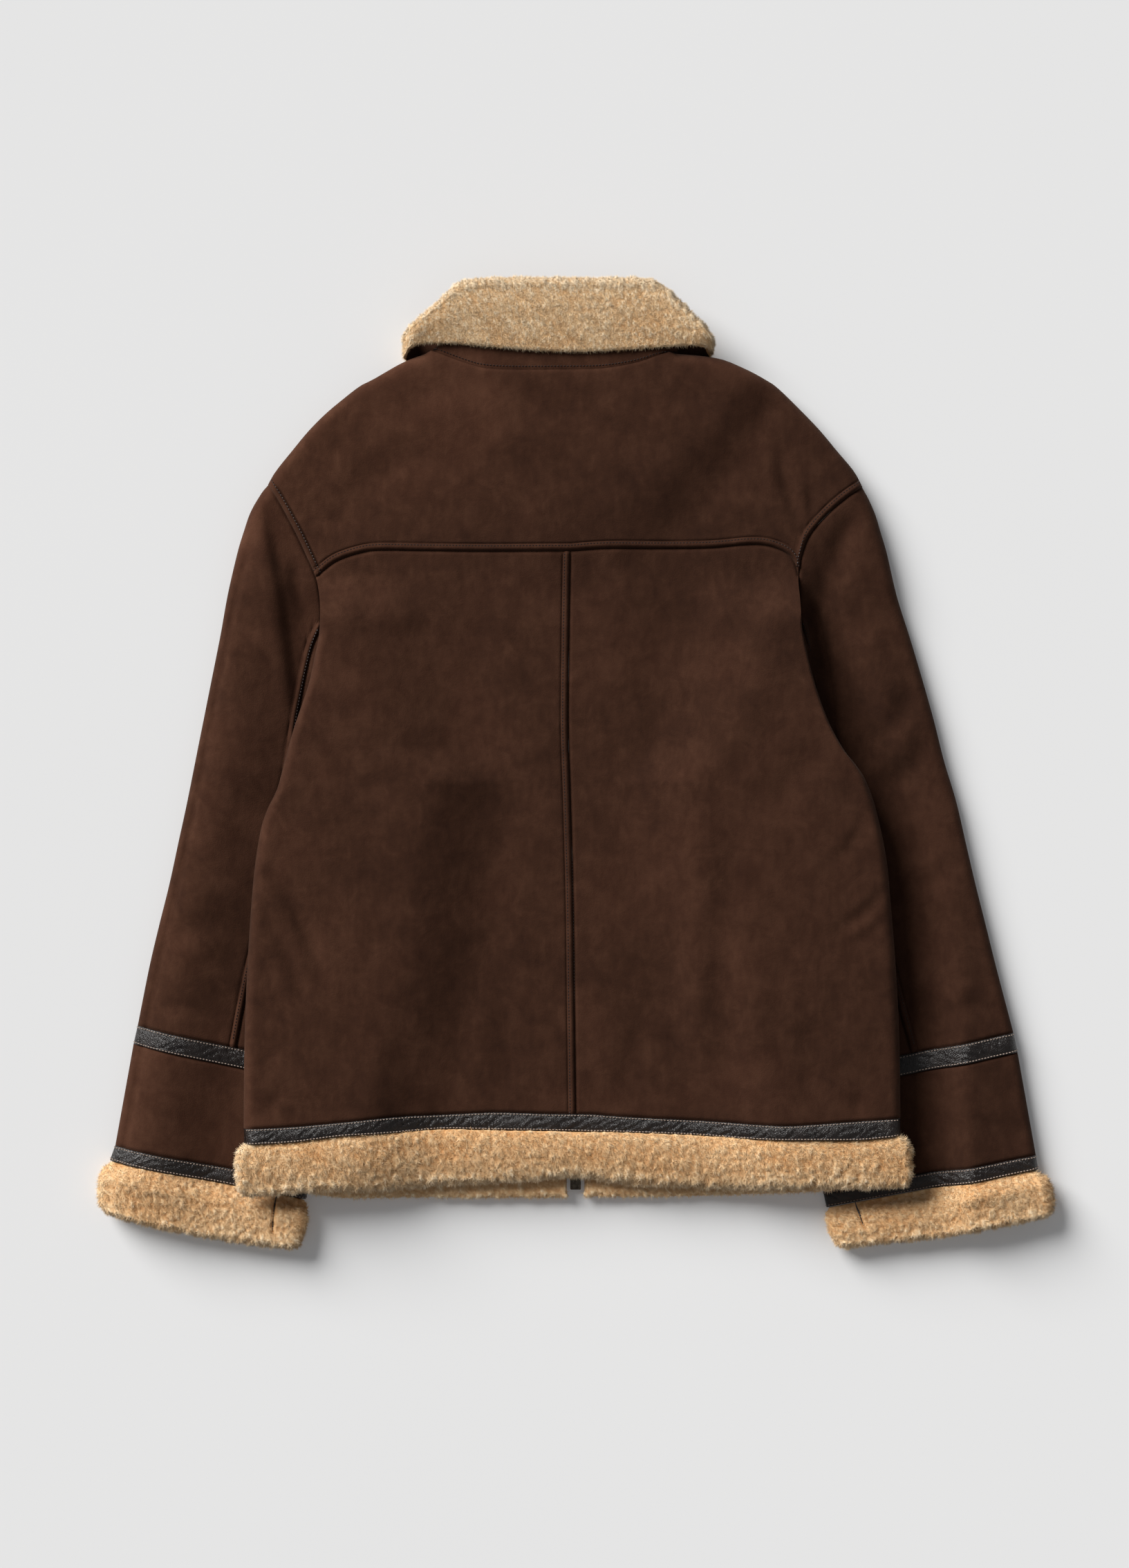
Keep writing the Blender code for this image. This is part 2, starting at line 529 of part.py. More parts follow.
def armhole_marks(side):
    """Distances down the armhole where the yoke, the front and the sleeve all have their points."""
    armhole = length_of(split_at(*EDGE_LINES[side][1:3])[0])
    return spread(armhole, ROUND_STOPS, (0.0, 0.010), ARMHOLE_SPANS) * armhole


def neck_marks():
    """Distances along the back neck where the yoke and the collar stand both have their points."""
    neck, turn = length_of(smooth(BACK_NECK)), STAND_HEIGHT_NECK / 2
    return turn + np.linspace(0.0, 1.0, NECK_COLUMNS) * (neck - 2 * turn)


def front_neck_marks(side):
    """Distances along the front neck, from the shoulder, where the front and the stand have their points."""
    neck, turn = length_of(smooth(EDGE_LINES[side][5])), STAND_HEIGHT_NECK / 2
    return np.concatenate([[0.0], turn + np.array(FRONT_NECK_SHARES) * (neck - turn)])


def seam_spans(seam):
    return round((length_of(smooth(seam)) - WELT_STOPS[-1] - PLAIN_STOPS[-1]) / ACROSS)


def back_columns(side, width):
    """Shares of a back's width, from its side to the centre seam, for a width or a row of widths."""
    middle = WELT_STOPS if side == "left" else PLAIN_STOPS
    return spread(width, WELT_STOPS, middle, seam_spans(EDGE_LINES[side][3]))


def make_yoke():
    """Back yoke, from shoulder to shoulder, with welts along its lower seam and both armholes."""
    shoulders = smooth(LEFT_SHOULDER)[::-1], smooth(RIGHT_SHOULDER)
    top = joined(shoulders[0], smooth(BACK_NECK), shoulders[1])
    seams = smooth(LEFT_YOKE_SEAM), smooth(RIGHT_YOKE_SEAM)
    foot = joined(seams[0], seams[1][::-1])
    armholes = [split_at(*EDGE_LINES[side][1:3])[0] for side in ("left", "right")]
    lines = top, foot, *armholes

    halves = [length_of(seam) for seam in seams]
    spans = [seam_spans(seam) for seam in (LEFT_YOKE_SEAM, RIGHT_YOKE_SEAM)]
    left, right = (spread(half, WELT_STOPS, (0.0, PLAIN_STOPS[-1]), count) * half
                   for half, count in zip(halves, spans))
    u_foot = np.concatenate([left[:-1], sum(halves) - right[::-1]]) / sum(halves)
    first = (len(u_foot) - NECK_COLUMNS) // 2 - 1
    counts = first + 1, len(u_foot) - NECK_COLUMNS - first - 1
    slopes = [length_of(shoulder) for shoulder in shoulders]
    left, right = (spread(slope, WELT_STOPS, (0.0, ), count - len(WELT_STOPS)) * slope
                   for slope, count in zip(slopes, counts))
    whole = length_of(top)
    u_top = np.concatenate([left, slopes[0] + neck_marks(), whole - right[::-1]]) / whole

    drop = np.linspace(0.0, 1.0, 25)[:, None]
    coarse = patch(u_top + (u_foot - u_top) * drop, drop, *lines)
    depths = np.linalg.norm(np.diff(coarse, axis=0), axis=2).sum(axis=0)
    v = spread(depths, ROUND_STOPS, WELT_STOPS, ARMHOLE_SPANS)
    plan = patch(u_top + (u_foot - u_top) * v, v, *lines)
    plan = inset(plan, SEAM_GAP / 2, columns=(False, False))
    plan = inset(plan, ARMHOLE_GAP / 2, rows=(False, False))
    x, y = plan[..., 0], plan[..., 1]
    columns = np.arange(len(u_top))[None, :]
    open_edge = (columns < first) | (columns > first + NECK_COLUMNS + 1)
    share = np.where(open_edge, rounded(run_in(plan, 0)), 1.0)
    seams = np.stack([seam_height(run_in(plan, 0, True), WELT), seam_height(run_in(plan, 1), WELT),
                      seam_height(run_in(plan, 1, True), WELT)])
    relief = np.where(seams.min(axis=0) < 0, seams.min(axis=0), seams.max(axis=0))
    panel("back_yoke", plan, back_inner(x, y), back_outer(x, y) + relief, "suede", share)


def make_back(side):
    """Half of the lower back. The left one carries the welt of the centre back seam."""
    armhole, edge, seam, hem = EDGE_LINES[side][1:5]
    middle_seam = WELT if side == "left" else PLAIN_SEAM
    edge = split_at(armhole, edge)[1]
    lines = smooth(seam), smooth(hem), edge, smooth(CENTRE_SEAM)
    v = stops(length_of(edge), SIDE_TOP_STOPS, SIDE_FOOT_STOPS, DOWN, SIDE_ZONES)[:, None]
    widths = row_lengths(lines, np.linspace(0.0, 1.0, 15), v[:, 0])
    widths[0] = length_of(lines[0])
    plan = inset(patch(back_columns(side, widths).T, v, *lines), SEAM_GAP / 2)
    x, y = plan[..., 0], plan[..., 1]
    free = ramp(y, *FREE_EDGE_Y)
    share = 1 - free * (1 - rounded(run_in(plan, 1)))
    relief = seam_height(run_in(plan, 1, True), middle_seam) + seam_height(run_in(plan, 0), PLAIN_SEAM)
    panel("back_" + side, plan, back_inner(x, y), back_outer(x, y) + relief, "suede", share)


def make_front(side):
    """Front, face down on the surface, from the zip to the side and from the neck to the hem."""
    sign = -1 if side == "left" else 1
    shoulder, armhole, edge = EDGE_LINES[side][:3]
    neck, shoulder = smooth(EDGE_LINES[side][5])[::-1], smooth(shoulder)
    halves = split_at(armhole, edge)
    edge = joined(*halves)
    top = joined(neck, shoulder)
    middle = np.array([top[0], (sign * FRONT_EDGE_X, FRONT_FOOT_Y)])
    side_foot = edge[-1][0], FRONT_FOOT_Y
    edge[-1] = side_foot
    foot = np.array([middle[-1], side_foot])
    corner = length_of(neck) / length_of(top)
    beyond = stops(length_of(shoulder), (0.0, ), ROUND_STOPS, FRONT_ACROSS)
    marks = front_neck_marks(side)[::-1]
    u = np.concatenate([(1 - marks / marks[0]) * corner, corner + beyond[1:] * (1 - corner)])
    side_length = length_of(halves[1])
    below = stops(side_length, (0.0, ), SIDE_FOOT_STOPS, FRONT_DOWN, SIDE_ZONES)[1:] * side_length
    marks = armhole_marks(side)
    v = np.concatenate([marks, marks[-1] + below]) / (marks[-1] + below[-1])
    plan = patch(u[None, :], v[:, None], top, foot, middle, edge)
    plan = inset(plan, SEAM_GAP / 2, columns=(False, False))
    plan = inset(plan, FRONT_ARMHOLE_GAP / 2, rows=(False, False), columns=(False, True))
    x, y = plan[..., 0], plan[..., 1]
    top_edge = (u > corner).astype(float)[None, :]
    free = ramp(y, *FREE_EDGE_Y)
    share = np.minimum(1 - top_edge * (1 - rounded(run_in(plan, 0))),
                       1 - free * (1 - rounded(run_in(plan, 1, True))))
    panel("front_" + side, plan, front_inner(x, y), front_outer(x, y), "suede", share)


# Hem

def make_back_hem():
    """Leather band and turned-out pile along the back's lower edge."""
    top = joined(smooth(LEFT_BAND_TOP), smooth(RIGHT_BAND_TOP)[::-1])
    middle = joined(smooth(LEFT_BAND_FOOT), smooth(RIGHT_BAND_FOOT)[::-1])
    left, right = length_of(smooth(LEFT_BAND_TOP)), length_of(smooth(RIGHT_BAND_TOP))
    whole = left + right
    marks = back_columns("left", left)[:-1] * left, whole - back_columns("right", right)[::-1] * right
    u = np.concatenate(marks) / whole
    v = np.array(HEM_BAND_ROWS)
    ends = [np.array([top[i], middle[i]]) for i in (0, -1)]
    plan = inset(patch(u[None, :], v[:, None], top, middle, ends[0], ends[1]), SEAM_GAP / 2)
    x, y = plan[..., 0], plan[..., 1]
    share = np.minimum(rounded(run_in(plan, 1)), rounded(run_in(plan, 1, True)))
    rise = np.where((v == 0.0) | (v == 1.0), -BAND_RISE, BAND_RISE)[:, None]
    panel("hem_band_back", plan, back_inner(x, y), back_outer(x, y) + rise, "leather", share)

    foot = smooth(BACK_PILE_FOOT)
    v = stops(HEM_PILE_DEPTH, PILE_TOP_STOPS, PILE_STOPS, PILE_DOWN)
    plan = patch(u[None, :], v[:, None], middle, foot, smooth(LEFT_PILE_END), smooth(RIGHT_PILE_END))
    plan = inset(plan, SEAM_GAP / 2)
    x, y = plan[..., 0], plan[..., 1]
    low = front_outer(x, y) + pile_share(x, y, FRONT_PILE) + HEM_PILE_SPACE
    depth = pile_share(x, y, BACK_PILE) * (1 - PILE_CROWN * (1 - np.sin(np.pi * v[:, None])))
    ends = np.minimum(run_in(plan, 1), run_in(plan, 1, True))
    share = np.minimum(rounded(ends, PILE_RADIUS), rounded(run_in(plan, 0, True), PILE_RADIUS))
    panel("hem_pile_back", plan, low, low + depth, "pile", share)


def make_front_hem(side):
    """Leather band and pile along a front's lower edge, face down."""
    sign = -1 if side == "left" else 1
    edge_x = EDGE_LINES[side][2][-1][0]
    top = np.array([(sign * FRONT_EDGE_X, FRONT_FOOT_Y), (edge_x, FRONT_FOOT_Y)])
    middle = np.array([(sign * FRONT_EDGE_X, FRONT_BAND_FOOT_Y), (edge_x, FRONT_BAND_FOOT_Y)])
    u = stops(length_of(top), FRONT_EDGE_STOPS, ROUND_STOPS, HEM_ACROSS)
    v = np.array([0.0, 0.5, 1.0])
    ends = [np.array([top[i], middle[i]]) for i in (0, -1)]
    plan = inset(patch(u[None, :], v[:, None], top, middle, ends[0], ends[1]), SEAM_GAP / 2)
    x, y = plan[..., 0], plan[..., 1]
    share = rounded(run_in(plan, 1, True))
    panel("hem_band_front_" + side, plan, front_inner(x, y), front_outer(x, y), "leather", share)

    foot = smooth(LEFT_PILE_FOOT if side == "left" else RIGHT_PILE_FOOT)[::-1]
    top = np.array([(sign * PILE_EDGE_X, FRONT_BAND_FOOT_Y), (edge_x, FRONT_BAND_FOOT_Y)])
    ends = [np.array([top[i], foot[i]]) for i in (0, -1)]
    v = stops(HEM_PILE_DEPTH, PILE_TOP_STOPS, PILE_STOPS, PILE_DOWN)
    u = stops(length_of(top), PILE_FRONT_STOPS, ROUND_STOPS, HEM_ACROSS)
    plan = inset(patch(u[None, :], v[:, None], top, foot, ends[0], ends[1]), SEAM_GAP / 2)
    x, y = plan[..., 0], plan[..., 1]
    high = front_outer(x, y) + pile_share(x, y, FRONT_PILE)
    ends = np.minimum(run_in(plan, 1), run_in(plan, 1, True))
    share = np.minimum(rounded(ends, PILE_RADIUS), rounded(run_in(plan, 0, True), PILE_RADIUS))
    panel("hem_pile_front_" + side, plan, high, front_outer(x, y), "pile", share)


# Sleeves

FOLD_ANGLES = np.radians([45, 0, -45])


def tube_columns(upper, lower, ends):
    """Stations round a flattened tube, or part of one.

    Each is a share across its width, a sideways part and an upward part of its rounding: 0 and 1 on
    the upper wall, 0 and -1 on the lower wall. ends names the folded edges that it runs round,
    "outer" or "inner" or both, in which case it is a full ring.
    """
    def flat(shares, up):
        return [(share, 0.0, up) for share in shares]

    def bend(share, way, angles):
        return [(share, way * np.cos(angle), np.sin(angle)) for angle in angles]

    if ends == "outer":
        rows = flat(upper, 1) + bend(0.0, -1, FOLD_ANGLES) + flat(lower, -1)
    elif ends == "inner":
        rows = flat(upper, 1) + bend(1.0, 1, FOLD_ANGLES) + flat(lower, -1)
    else:
        rows = flat(upper, 1) + bend(1.0, 1, FOLD_ANGLES) + flat(lower, -1) + bend(0.0, -1, FOLD_ANGLES[::-1])
    return np.array(rows).T


def flat_tube(name, lines, v, columns, height, finish, closed, dip=None, gaps=(0.0, 0.0), share=None):
    """Wall of a flattened tube between a head line and a foot line.

    Across it, a point's distance from the outer edge is half the tube's height plus its share of the
    rest, and round a folded edge both skins are half circles about the same centre. dip lowers the
    upper skin. The inner skins lie a small space apart.
    """
    top, foot = lines[:2]
    share_across, sideways, upward = (row[None, :] for row in columns)
    v = np.asarray(v)[:, None]
    width = (1 - v) * length_of(top) + v * length_of(foot)
    base = patch(share_across * np.ones_like(v), v * np.ones_like(share_across), *lines)
    half = height(base[..., 0], base[..., 1], share_across, v) / 2
    grids = []
    for reach in (half, np.full_like(half, SLEEVE_SPACE / 2)):
        across = half + share_across * (width - 2 * half) + reach * sideways
        plan = patch(across / width, v * np.ones_like(across), *lines)
        z = half + reach * upward
        grids.append([plan, z])
    (plan_out, z_out), (plan_in, z_in) = grids
    for plan in (plan_out, plan_in):
        for edge, inner, gap in ((0, 1, gaps[0]), (-1, -2, gaps[1])):
            way = plan[inner] - plan[edge]
            plan[edge] += way / np.linalg.norm(way, axis=-1, keepdims=True) * gap
    if dip is not None:
        z_out = z_out - dip(plan_out[..., 0], plan_out[..., 1]) * (upward > 0.999)
    if share is not None:
        plan_out = plan_in + (plan_out - plan_in) * share[:, None, None]
        z_out = z_in + (z_out - z_in) * share[:, None]
    return wall(name, np.dstack([plan_out, z_out]), np.dstack([plan_in, z_in]), finish, closed)


def make_sleeve(side):
    sleeve = SLEEVES[side]
    head = smooth(sleeve["head"])
    outer, inner = smooth(sleeve["outer"]), smooth(sleeve["inner"])
    band_top = np.array(sleeve["band_top"])
    main = (head, band_top, outer, inner)

    body_edge = np.array(EDGE_LINES[side][2][::-1])

    def height(x, y, share, v):
        """Flat under the body, fuller where it shows, and level with the yoke at the armhole."""
        clear = np.abs(x) - np.abs(np.interp(y, body_edge[:, 1], body_edge[:, 0]))
        at_head = SLEEVE_HEAD_RISE * ramp(y, ARM_LIFT_FULL_Y, ARM_LIFT_START_Y) * (1 - ramp(v, 0.0, HEAD_RUN))
        full = np.sin(np.pi * np.clip(share / PUFF_WIDTH, 0, 1))
        puff = SLEEVE_PUFF * ramp(clear, *PUFF_CLEAR) * ramp(v, 0.0, PUFF_RUN) * full
        return SLEEVE_HEIGHT + at_head + puff

    fold = sleeve["fold"]
    folds = [(*start, *end, SLEEVE_FOLD_WIDTH, SLEEVE_FOLD_DEPTH) for start, end in zip(fold[:-1], fold[1:])]

    def dip(x, y):
        depth = np.zeros_like(x)
        for x0, y0, x1, y1, width, deep in folds:
            t = np.clip(((x - x0) * (x1 - x0) + (y - y0) * (y1 - y0)) / ((x1 - x0)**2 + (y1 - y0)**2), 0, 1)
            away = np.hypot(x - x0 - t * (x1 - x0), y - y0 - t * (y1 - y0))
            depth = np.maximum(depth, deep * np.exp(-(away / width) ** 2))
        return depth

    rows = np.concatenate([SLEEVE_TOP_ROWS, np.linspace(SLEEVE_ROWS_START, 1.0, SLEEVE_ROWS)])
    seam = SEAM_GAP / 2 / length_of(band_top)
    marks = armhole_marks(side)
    zone, step = SIDE_ZONES[0]
    below = np.arange(1, 4) * zone / round(zone / step)
    turn = (SLEEVE_HEIGHT + SLEEVE_HEAD_RISE) / 2
    marks = np.concatenate([marks, marks[-1] + below])
    shares = (marks - turn) / (length_of(head) - 2 * turn)
    shares = shares[(shares > LEAST_SPAN) & (shares < SLEEVE_SEAM - 2 * LEAST_SPAN)]
    shares = np.concatenate([[0.0], shares])
    upper = np.concatenate([[SLEEVE_SEAM - seam], shares[::-1]])
    lower = np.concatenate([shares, [SLEEVE_FRONT_SEAM - seam]])
    gaps = (ARMHOLE_GAP / 2, SEAM_GAP / 2)
    flat_tube("top_sleeve_" + side, main, rows, tube_columns(upper, lower, "outer"), height, "suede",
              False, dip, gaps)
    upper = np.array([SLEEVE_SEAM + seam, *UNDER_SLEEVE_SHARES, 1.0])
    lower = np.array([1.0, (1.0 + SLEEVE_FRONT_SEAM) / 2, SLEEVE_FRONT_SEAM + seam])
    flat_tube("under_sleeve_" + side, main, rows, tube_columns(upper, lower, "inner"), height, "suede",
              False, None, gaps)

    names = ("band_top", "band_foot", "cuff_band_top", "cuff_band_foot")
    cross = [np.array(sleeve[name]) for name in names]
    ring = tube_columns(np.linspace(0.0, 1.0, RING_UPPER), np.linspace(1.0, 0.0, RING_LOWER), "both")

    def level(rise):
        return lambda x, *shares: np.full_like(x, SLEEVE_HEIGHT + rise)

    pieces = (("sleeve_band_", 0, BAND_ROWS, SLEEVE_BAND_RISE, "leather"),
              ("forearm_", 1, FOREARM_ROWS, 0.0, "suede"),
              ("cuff_band_", 2, BAND_ROWS, CUFF_BAND_HEIGHT - SLEEVE_HEIGHT, "leather"))
    for prefix, k, v, rise, finish in pieces:
        top, foot = cross[k], cross[k + 1]
        edges = [np.array([top[i], foot[i]]) for i in (0, 1)]
        flat_tube(prefix + side, (top, foot, *edges), v, ring, level(rise), finish, True, None,
                  (SEAM_GAP / 2, SEAM_GAP / 2))

    cuff_outer, cuff_inner = smooth(sleeve["cuff_outer"]), smooth(sleeve["cuff_inner"])
    top = np.array([cuff_outer[0], cuff_inner[0]])
    foot = smooth(sleeve["cuff_foot"])
    v = np.array(CUFF_ROWS)

    def cuff_height(*place):
        """Thicker down from the band: the share down the cuff comes last in its place."""
        grown = ramp(place[-1], 0.0, CUFF_RUN) * np.ones_like(place[0])
        return CUFF_BAND_HEIGHT + (CUFF_PILE_HEIGHT - CUFF_BAND_HEIGHT) * grown

    flat_tube("cuff_pile_" + side, (top, foot, cuff_outer, cuff_inner), v, ring, cuff_height, "pile", True,
              None, (SEAM_GAP / 2, 0.0), rounded((1 - v) * length_of(cuff_outer), PILE_RADIUS))


# Collar

def collar_ring(name, patches, v, low, high, thick, finish, share, back_shares, outside):
    """Open ring round the neck, flattened into a lower and an upper layer.

    patches are those of the left front, from the side inwards, of the back, and of the right front.
    low and high give the ring's lowest and highest height for each row v. At each side it turns over
    in a half circle, with both skins about one centre. outside says which skin the rounded edge thins.
    """
    half, middle = (high - low) / 2, (high + low) / 2
    widths = [row_lengths(lines, np.linspace(0.0, 1.0, 25), v) for lines in patches]
    stations = [(0, u, 0.0, -1.0) for u in FRONT_NECK_SHARES[::-1]]
    stations += [(1, 0.0, -np.cos(angle), np.sin(angle)) for angle in FOLD_ANGLES[::-1]]
    stations += [(1, u, 0.0, 1.0) for u in back_shares]
    stations += [(1, 1.0, np.cos(angle), np.sin(angle)) for angle in FOLD_ANGLES]
    stations += [(2, u, 0.0, -1.0) for u in FRONT_NECK_SHARES]
    skins = []
    for reach in (half, half - thick):
        columns = []
        for k, u, sideways, upward in stations:
            turned = 2 * half if k == 1 else half
            across = half + u * (widths[k] - turned) + reach * sideways
            plan = patch(across / widths[k], v, *patches[k])
            columns.append(np.column_stack([plan, middle + reach * upward]))
        skins.append(np.stack(columns, axis=1))
    outer, inner = skins
    if outside:
        outer = inner + (outer - inner) * share[:, None, None]
    else:
        inner = outer + (inner - outer) * share[:, None, None]
    return wall(name, outer, inner, finish)


def make_collar():
    """Stand, sewn round the neck, and fall, folded down over it with the pile outside."""
    fold, edge = smooth(FALL_FOLD), smooth(FALL_EDGE)
    front_folds = smooth(LEFT_FALL_FRONT_FOLD), smooth(RIGHT_FALL_FRONT_FOLD)
    front_edges = smooth(LEFT_FALL_FRONT_EDGE), smooth(RIGHT_FALL_FRONT_EDGE)
    depth = np.ptp([fold[len(fold) // 2, 1], edge[len(edge) // 2, 1]])

    def sided(top, foot):
        return top, foot, np.array([top[0], foot[0]]), np.array([top[-1], foot[-1]])

    patches = [sided(*lines) for lines in zip((front_folds[0], fold, front_folds[1]),
                                              (front_edges[0], edge, front_edges[1]))]
    v = np.array(FALL_ROWS)
    share = np.minimum(rounded(v * depth, FOLD_RADIUS), rounded((1 - v) * depth, FALL_EDGE_RADIUS))
    high = FALL_HEIGHT_FOLD + (FALL_HEIGHT_EDGE - FALL_HEIGHT_FOLD) * v
    collar_ring("collar_fall", patches, v, np.zeros_like(v), high, FALL_WALL, "pile", share,
                np.linspace(0.0, 1.0, FALL_COLUMNS), True)

    def narrowed(line):
        x = COLLAR_MIDDLE_X + (line[:, 0] - COLLAR_MIDDLE_X) * STAND_NARROWING
        return np.stack([x, line[:, 1] - STAND_TUCK], axis=1)

    necks = smooth(LEFT_FRONT_NECK), smooth(BACK_NECK), smooth(RIGHT_FRONT_NECK)
    patches = [sided(narrowed(top), neck) for top, neck in zip((front_folds[0], fold, front_folds[1]), necks)]
    v = np.array(STAND_ROWS)
    share = rounded(v * depth, FOLD_RADIUS)
    high = STAND_FLOOR + STAND_HEIGHT_FOLD + (STAND_HEIGHT_NECK - STAND_HEIGHT_FOLD) * v
    low = np.full_like(v, STAND_FLOOR)
    collar_ring("collar_stand", patches, v * (1 - SEAM_GAP / depth), low, high, STAND_WALL, "suede", share,
                np.linspace(0.0, 1.0, NECK_COLUMNS), False)


# Zip

def box(name, x, y, z, finish):
    """Block between two values on each axis."""
    bpy.ops.mesh.primitive_cube_add(size=1.0)
    cube = bpy.context.object
    size = [pair[1] - pair[0] for pair in (x, y, z)]
    middle = [(pair[1] + pair[0]) / 2 for pair in (x, y, z)]
    mesh = cube.data
    points = np.empty(len(mesh.vertices) * 3)
    mesh.vertices.foreach_get("co", points)
    points = points.reshape(-1, 3) * size + middle
    mesh.vertices.foreach_set("co", points.ravel())
    bpy.data.objects.remove(cube)
    mesh.name = name
    return new_object(name, mesh, finish)


def add_bevel(piece, width, segments=2):
    bevel = piece.modifiers.new("edges", "BEVEL")
    bevel.width = width
    bevel.segments = segments
    bevel.use_clamp_overlap = True


def zip_strip(name, x, z, y_ends, finish):
    """Straight strip along the zip, which follows the fronts where the collar lifts them."""
    lift_y = FRONT_FALL_POINT_Y - COLLAR_LIFT_REACH
    rise = np.linspace(lift_y, lift_y + COLLAR_LIFT_RUN + ZIP_EASE, ZIP_RISE_ROWS)
    y = np.concatenate([[y_ends[0]], rise, [y_ends[1]]])
    plan = np.stack(np.meshgrid(np.array(x), y), axis=-1)
    base = STAND_FLOOR * collar_lift(np.zeros_like(plan[..., 1]), plan[..., 1])
    panel(name, plan, base + z[0], base + z[1], finish)


def make_zip():
    """Zip closed up to the neck, its slider at the top and its tab hanging to the surface."""
    top = SLIDER_Y[1]
    zip_strip("zip_tape_left", (-TAPE_X[1], -TAPE_X[0]), TAPE_Z, (ZIP_BOTTOM_Y, top), "tape")
    zip_strip("zip_tape_right", TAPE_X, TAPE_Z, (ZIP_BOTTOM_Y, top), "tape")
    teeth_y = ZIP_BOTTOM_Y, SLIDER_Y[0] - SEAM_GAP
    zip_strip("zip_teeth", (-TEETH_HALF, TEETH_HALF), TEETH_Z, teeth_y, "metal")
    width, length, thick = ZIP_BOX
    foot = ZIP_BOTTOM_Y - SEAM_GAP
    box_z = ZIP_BOX_Z, ZIP_BOX_Z + thick
    stop = box("zip_box", (-width / 2, width / 2), (foot - length, foot), box_z, "metal")
    add_bevel(stop, ZIP_BOX_BEVEL)

    slider = box("zip_slider", (-SLIDER_HALF, SLIDER_HALF), SLIDER_Y,
                 (STAND_FLOOR + SLIDER_Z[0], STAND_FLOOR + SLIDER_Z[1]), "metal")
    lug_y = TAB_PIVOT_Y - LUG_LENGTH / 2, TAB_PIVOT_Y + LUG_LENGTH / 2
    lug_z = STAND_FLOOR + SLIDER_Z[0] - LUG_DROP, STAND_FLOOR + SLIDER_Z[1] - LUG_SUNK
    for sign in (-1, 1):
        lug_x = sorted((sign * LUG_X[0], sign * LUG_X[1]))
        lug = box("lug", lug_x, lug_y, lug_z, "metal")
        cutters.objects.link(lug)
        jacket.objects.unlink(lug)
        lug.hide_render = True
        lug.display_type = "WIRE"
        join = slider.modifiers.new("lug", "BOOLEAN")
        join.operation = "UNION"
        join.object = lug

    pivot_z = STAND_FLOOR + SLIDER_Z[0] - TAB_PIVOT_DROP
    half = ((TAB_EYE_HALF, TAB_EYE_TOP), (TAB_EYE_HALF, -TAB_EYE_LENGTH),
            (TAB_HALF, -TAB_EYE_LENGTH - TAB_SHOULDER), (TAB_HALF, -TAB_LENGTH + TAB_CORNER[1]),
            (TAB_HALF - TAB_CORNER[0], -TAB_LENGTH))
    outline = [(-x, y) for x, y in half] + list(half[::-1])
    form = bmesh.new()
    face = form.faces.new([form.verts.new((x, y, -TAB_THICK / 2)) for x, y in outline])
    raised = bmesh.ops.extrude_face_region(form, geom=[face])
    bmesh.ops.translate(form, vec=(0, 0, TAB_THICK),
                        verts=[item for item in raised["geom"] if isinstance(item, bmesh.types.BMVert)])
    bmesh.ops.recalc_face_normals(form, faces=form.faces)
    mesh = bpy.data.meshes.new("zip_tab")
    form.to_mesh(mesh)
    form.free()
    tab = new_object("zip_tab", mesh, "metal")
    tab.location = (0.0, TAB_PIVOT_Y, pivot_z)
    tab.rotation_euler = (np.radians(TAB_REST_DEGREES), 0.0, 0.0)


for item in list(bpy.data.objects):
    bpy.data.objects.remove(item)
jacket = bpy.data.collections.new("shearling jacket")
cutters = bpy.data.collections.new("cutters")
for group in (jacket, cutters):
    bpy.context.scene.collection.children.link(group)

make_yoke()
make_back_hem()
make_collar()
make_zip()
for wearer_side in ("left", "right"):
    make_back(wearer_side)
    make_front(wearer_side)
    make_front_hem(wearer_side)
    make_sleeve(wearer_side)
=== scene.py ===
"""Looks of a shearling jacket that lies flat on its front, seen from the back.

Lengths are metres in the frame of the solids: +Z up from the surface that the jacket lies on, +Y
towards the collar, +X towards the wearer's right. A piece of suede, leather or fleece is a closed
wall between two grids of points. In plan it is a patch inside four edge lines, which are those of the
solids, and its height is a function of the plan. Creases, seams, stitches and curls are finer.
"""

import bpy
import numpy as np
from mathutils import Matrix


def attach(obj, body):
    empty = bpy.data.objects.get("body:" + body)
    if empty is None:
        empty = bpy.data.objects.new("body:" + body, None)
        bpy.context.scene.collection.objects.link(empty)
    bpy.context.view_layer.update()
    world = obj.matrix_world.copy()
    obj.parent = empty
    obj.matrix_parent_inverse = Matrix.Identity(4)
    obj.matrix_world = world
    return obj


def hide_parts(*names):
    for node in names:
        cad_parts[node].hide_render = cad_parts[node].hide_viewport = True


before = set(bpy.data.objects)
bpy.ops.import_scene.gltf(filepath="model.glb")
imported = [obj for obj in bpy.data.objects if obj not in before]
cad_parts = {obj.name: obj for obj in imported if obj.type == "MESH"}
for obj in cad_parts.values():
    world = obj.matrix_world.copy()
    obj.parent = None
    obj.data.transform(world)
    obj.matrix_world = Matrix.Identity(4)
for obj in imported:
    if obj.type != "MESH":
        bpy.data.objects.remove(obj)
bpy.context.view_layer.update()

# Layers, from the surface up: walls, and the air between them
BODY_WALL = 0.0105
SIDE_WALL = 0.0085
BODY_SPACE = 0.0022
SIDE_PUFF = 0.0045
SLEEVE_HEIGHT = 0.0168
SLEEVE_HEAD_RISE = 0.0058
SLEEVE_SPACE = 0.0012
REST_SPACE = 0.0010
EDGE_OUT = 0.0022
SEAM_GAP = 0.0001
ARMHOLE_GAP = 0.0001
FRONT_ARMHOLE_GAP = 0.0002

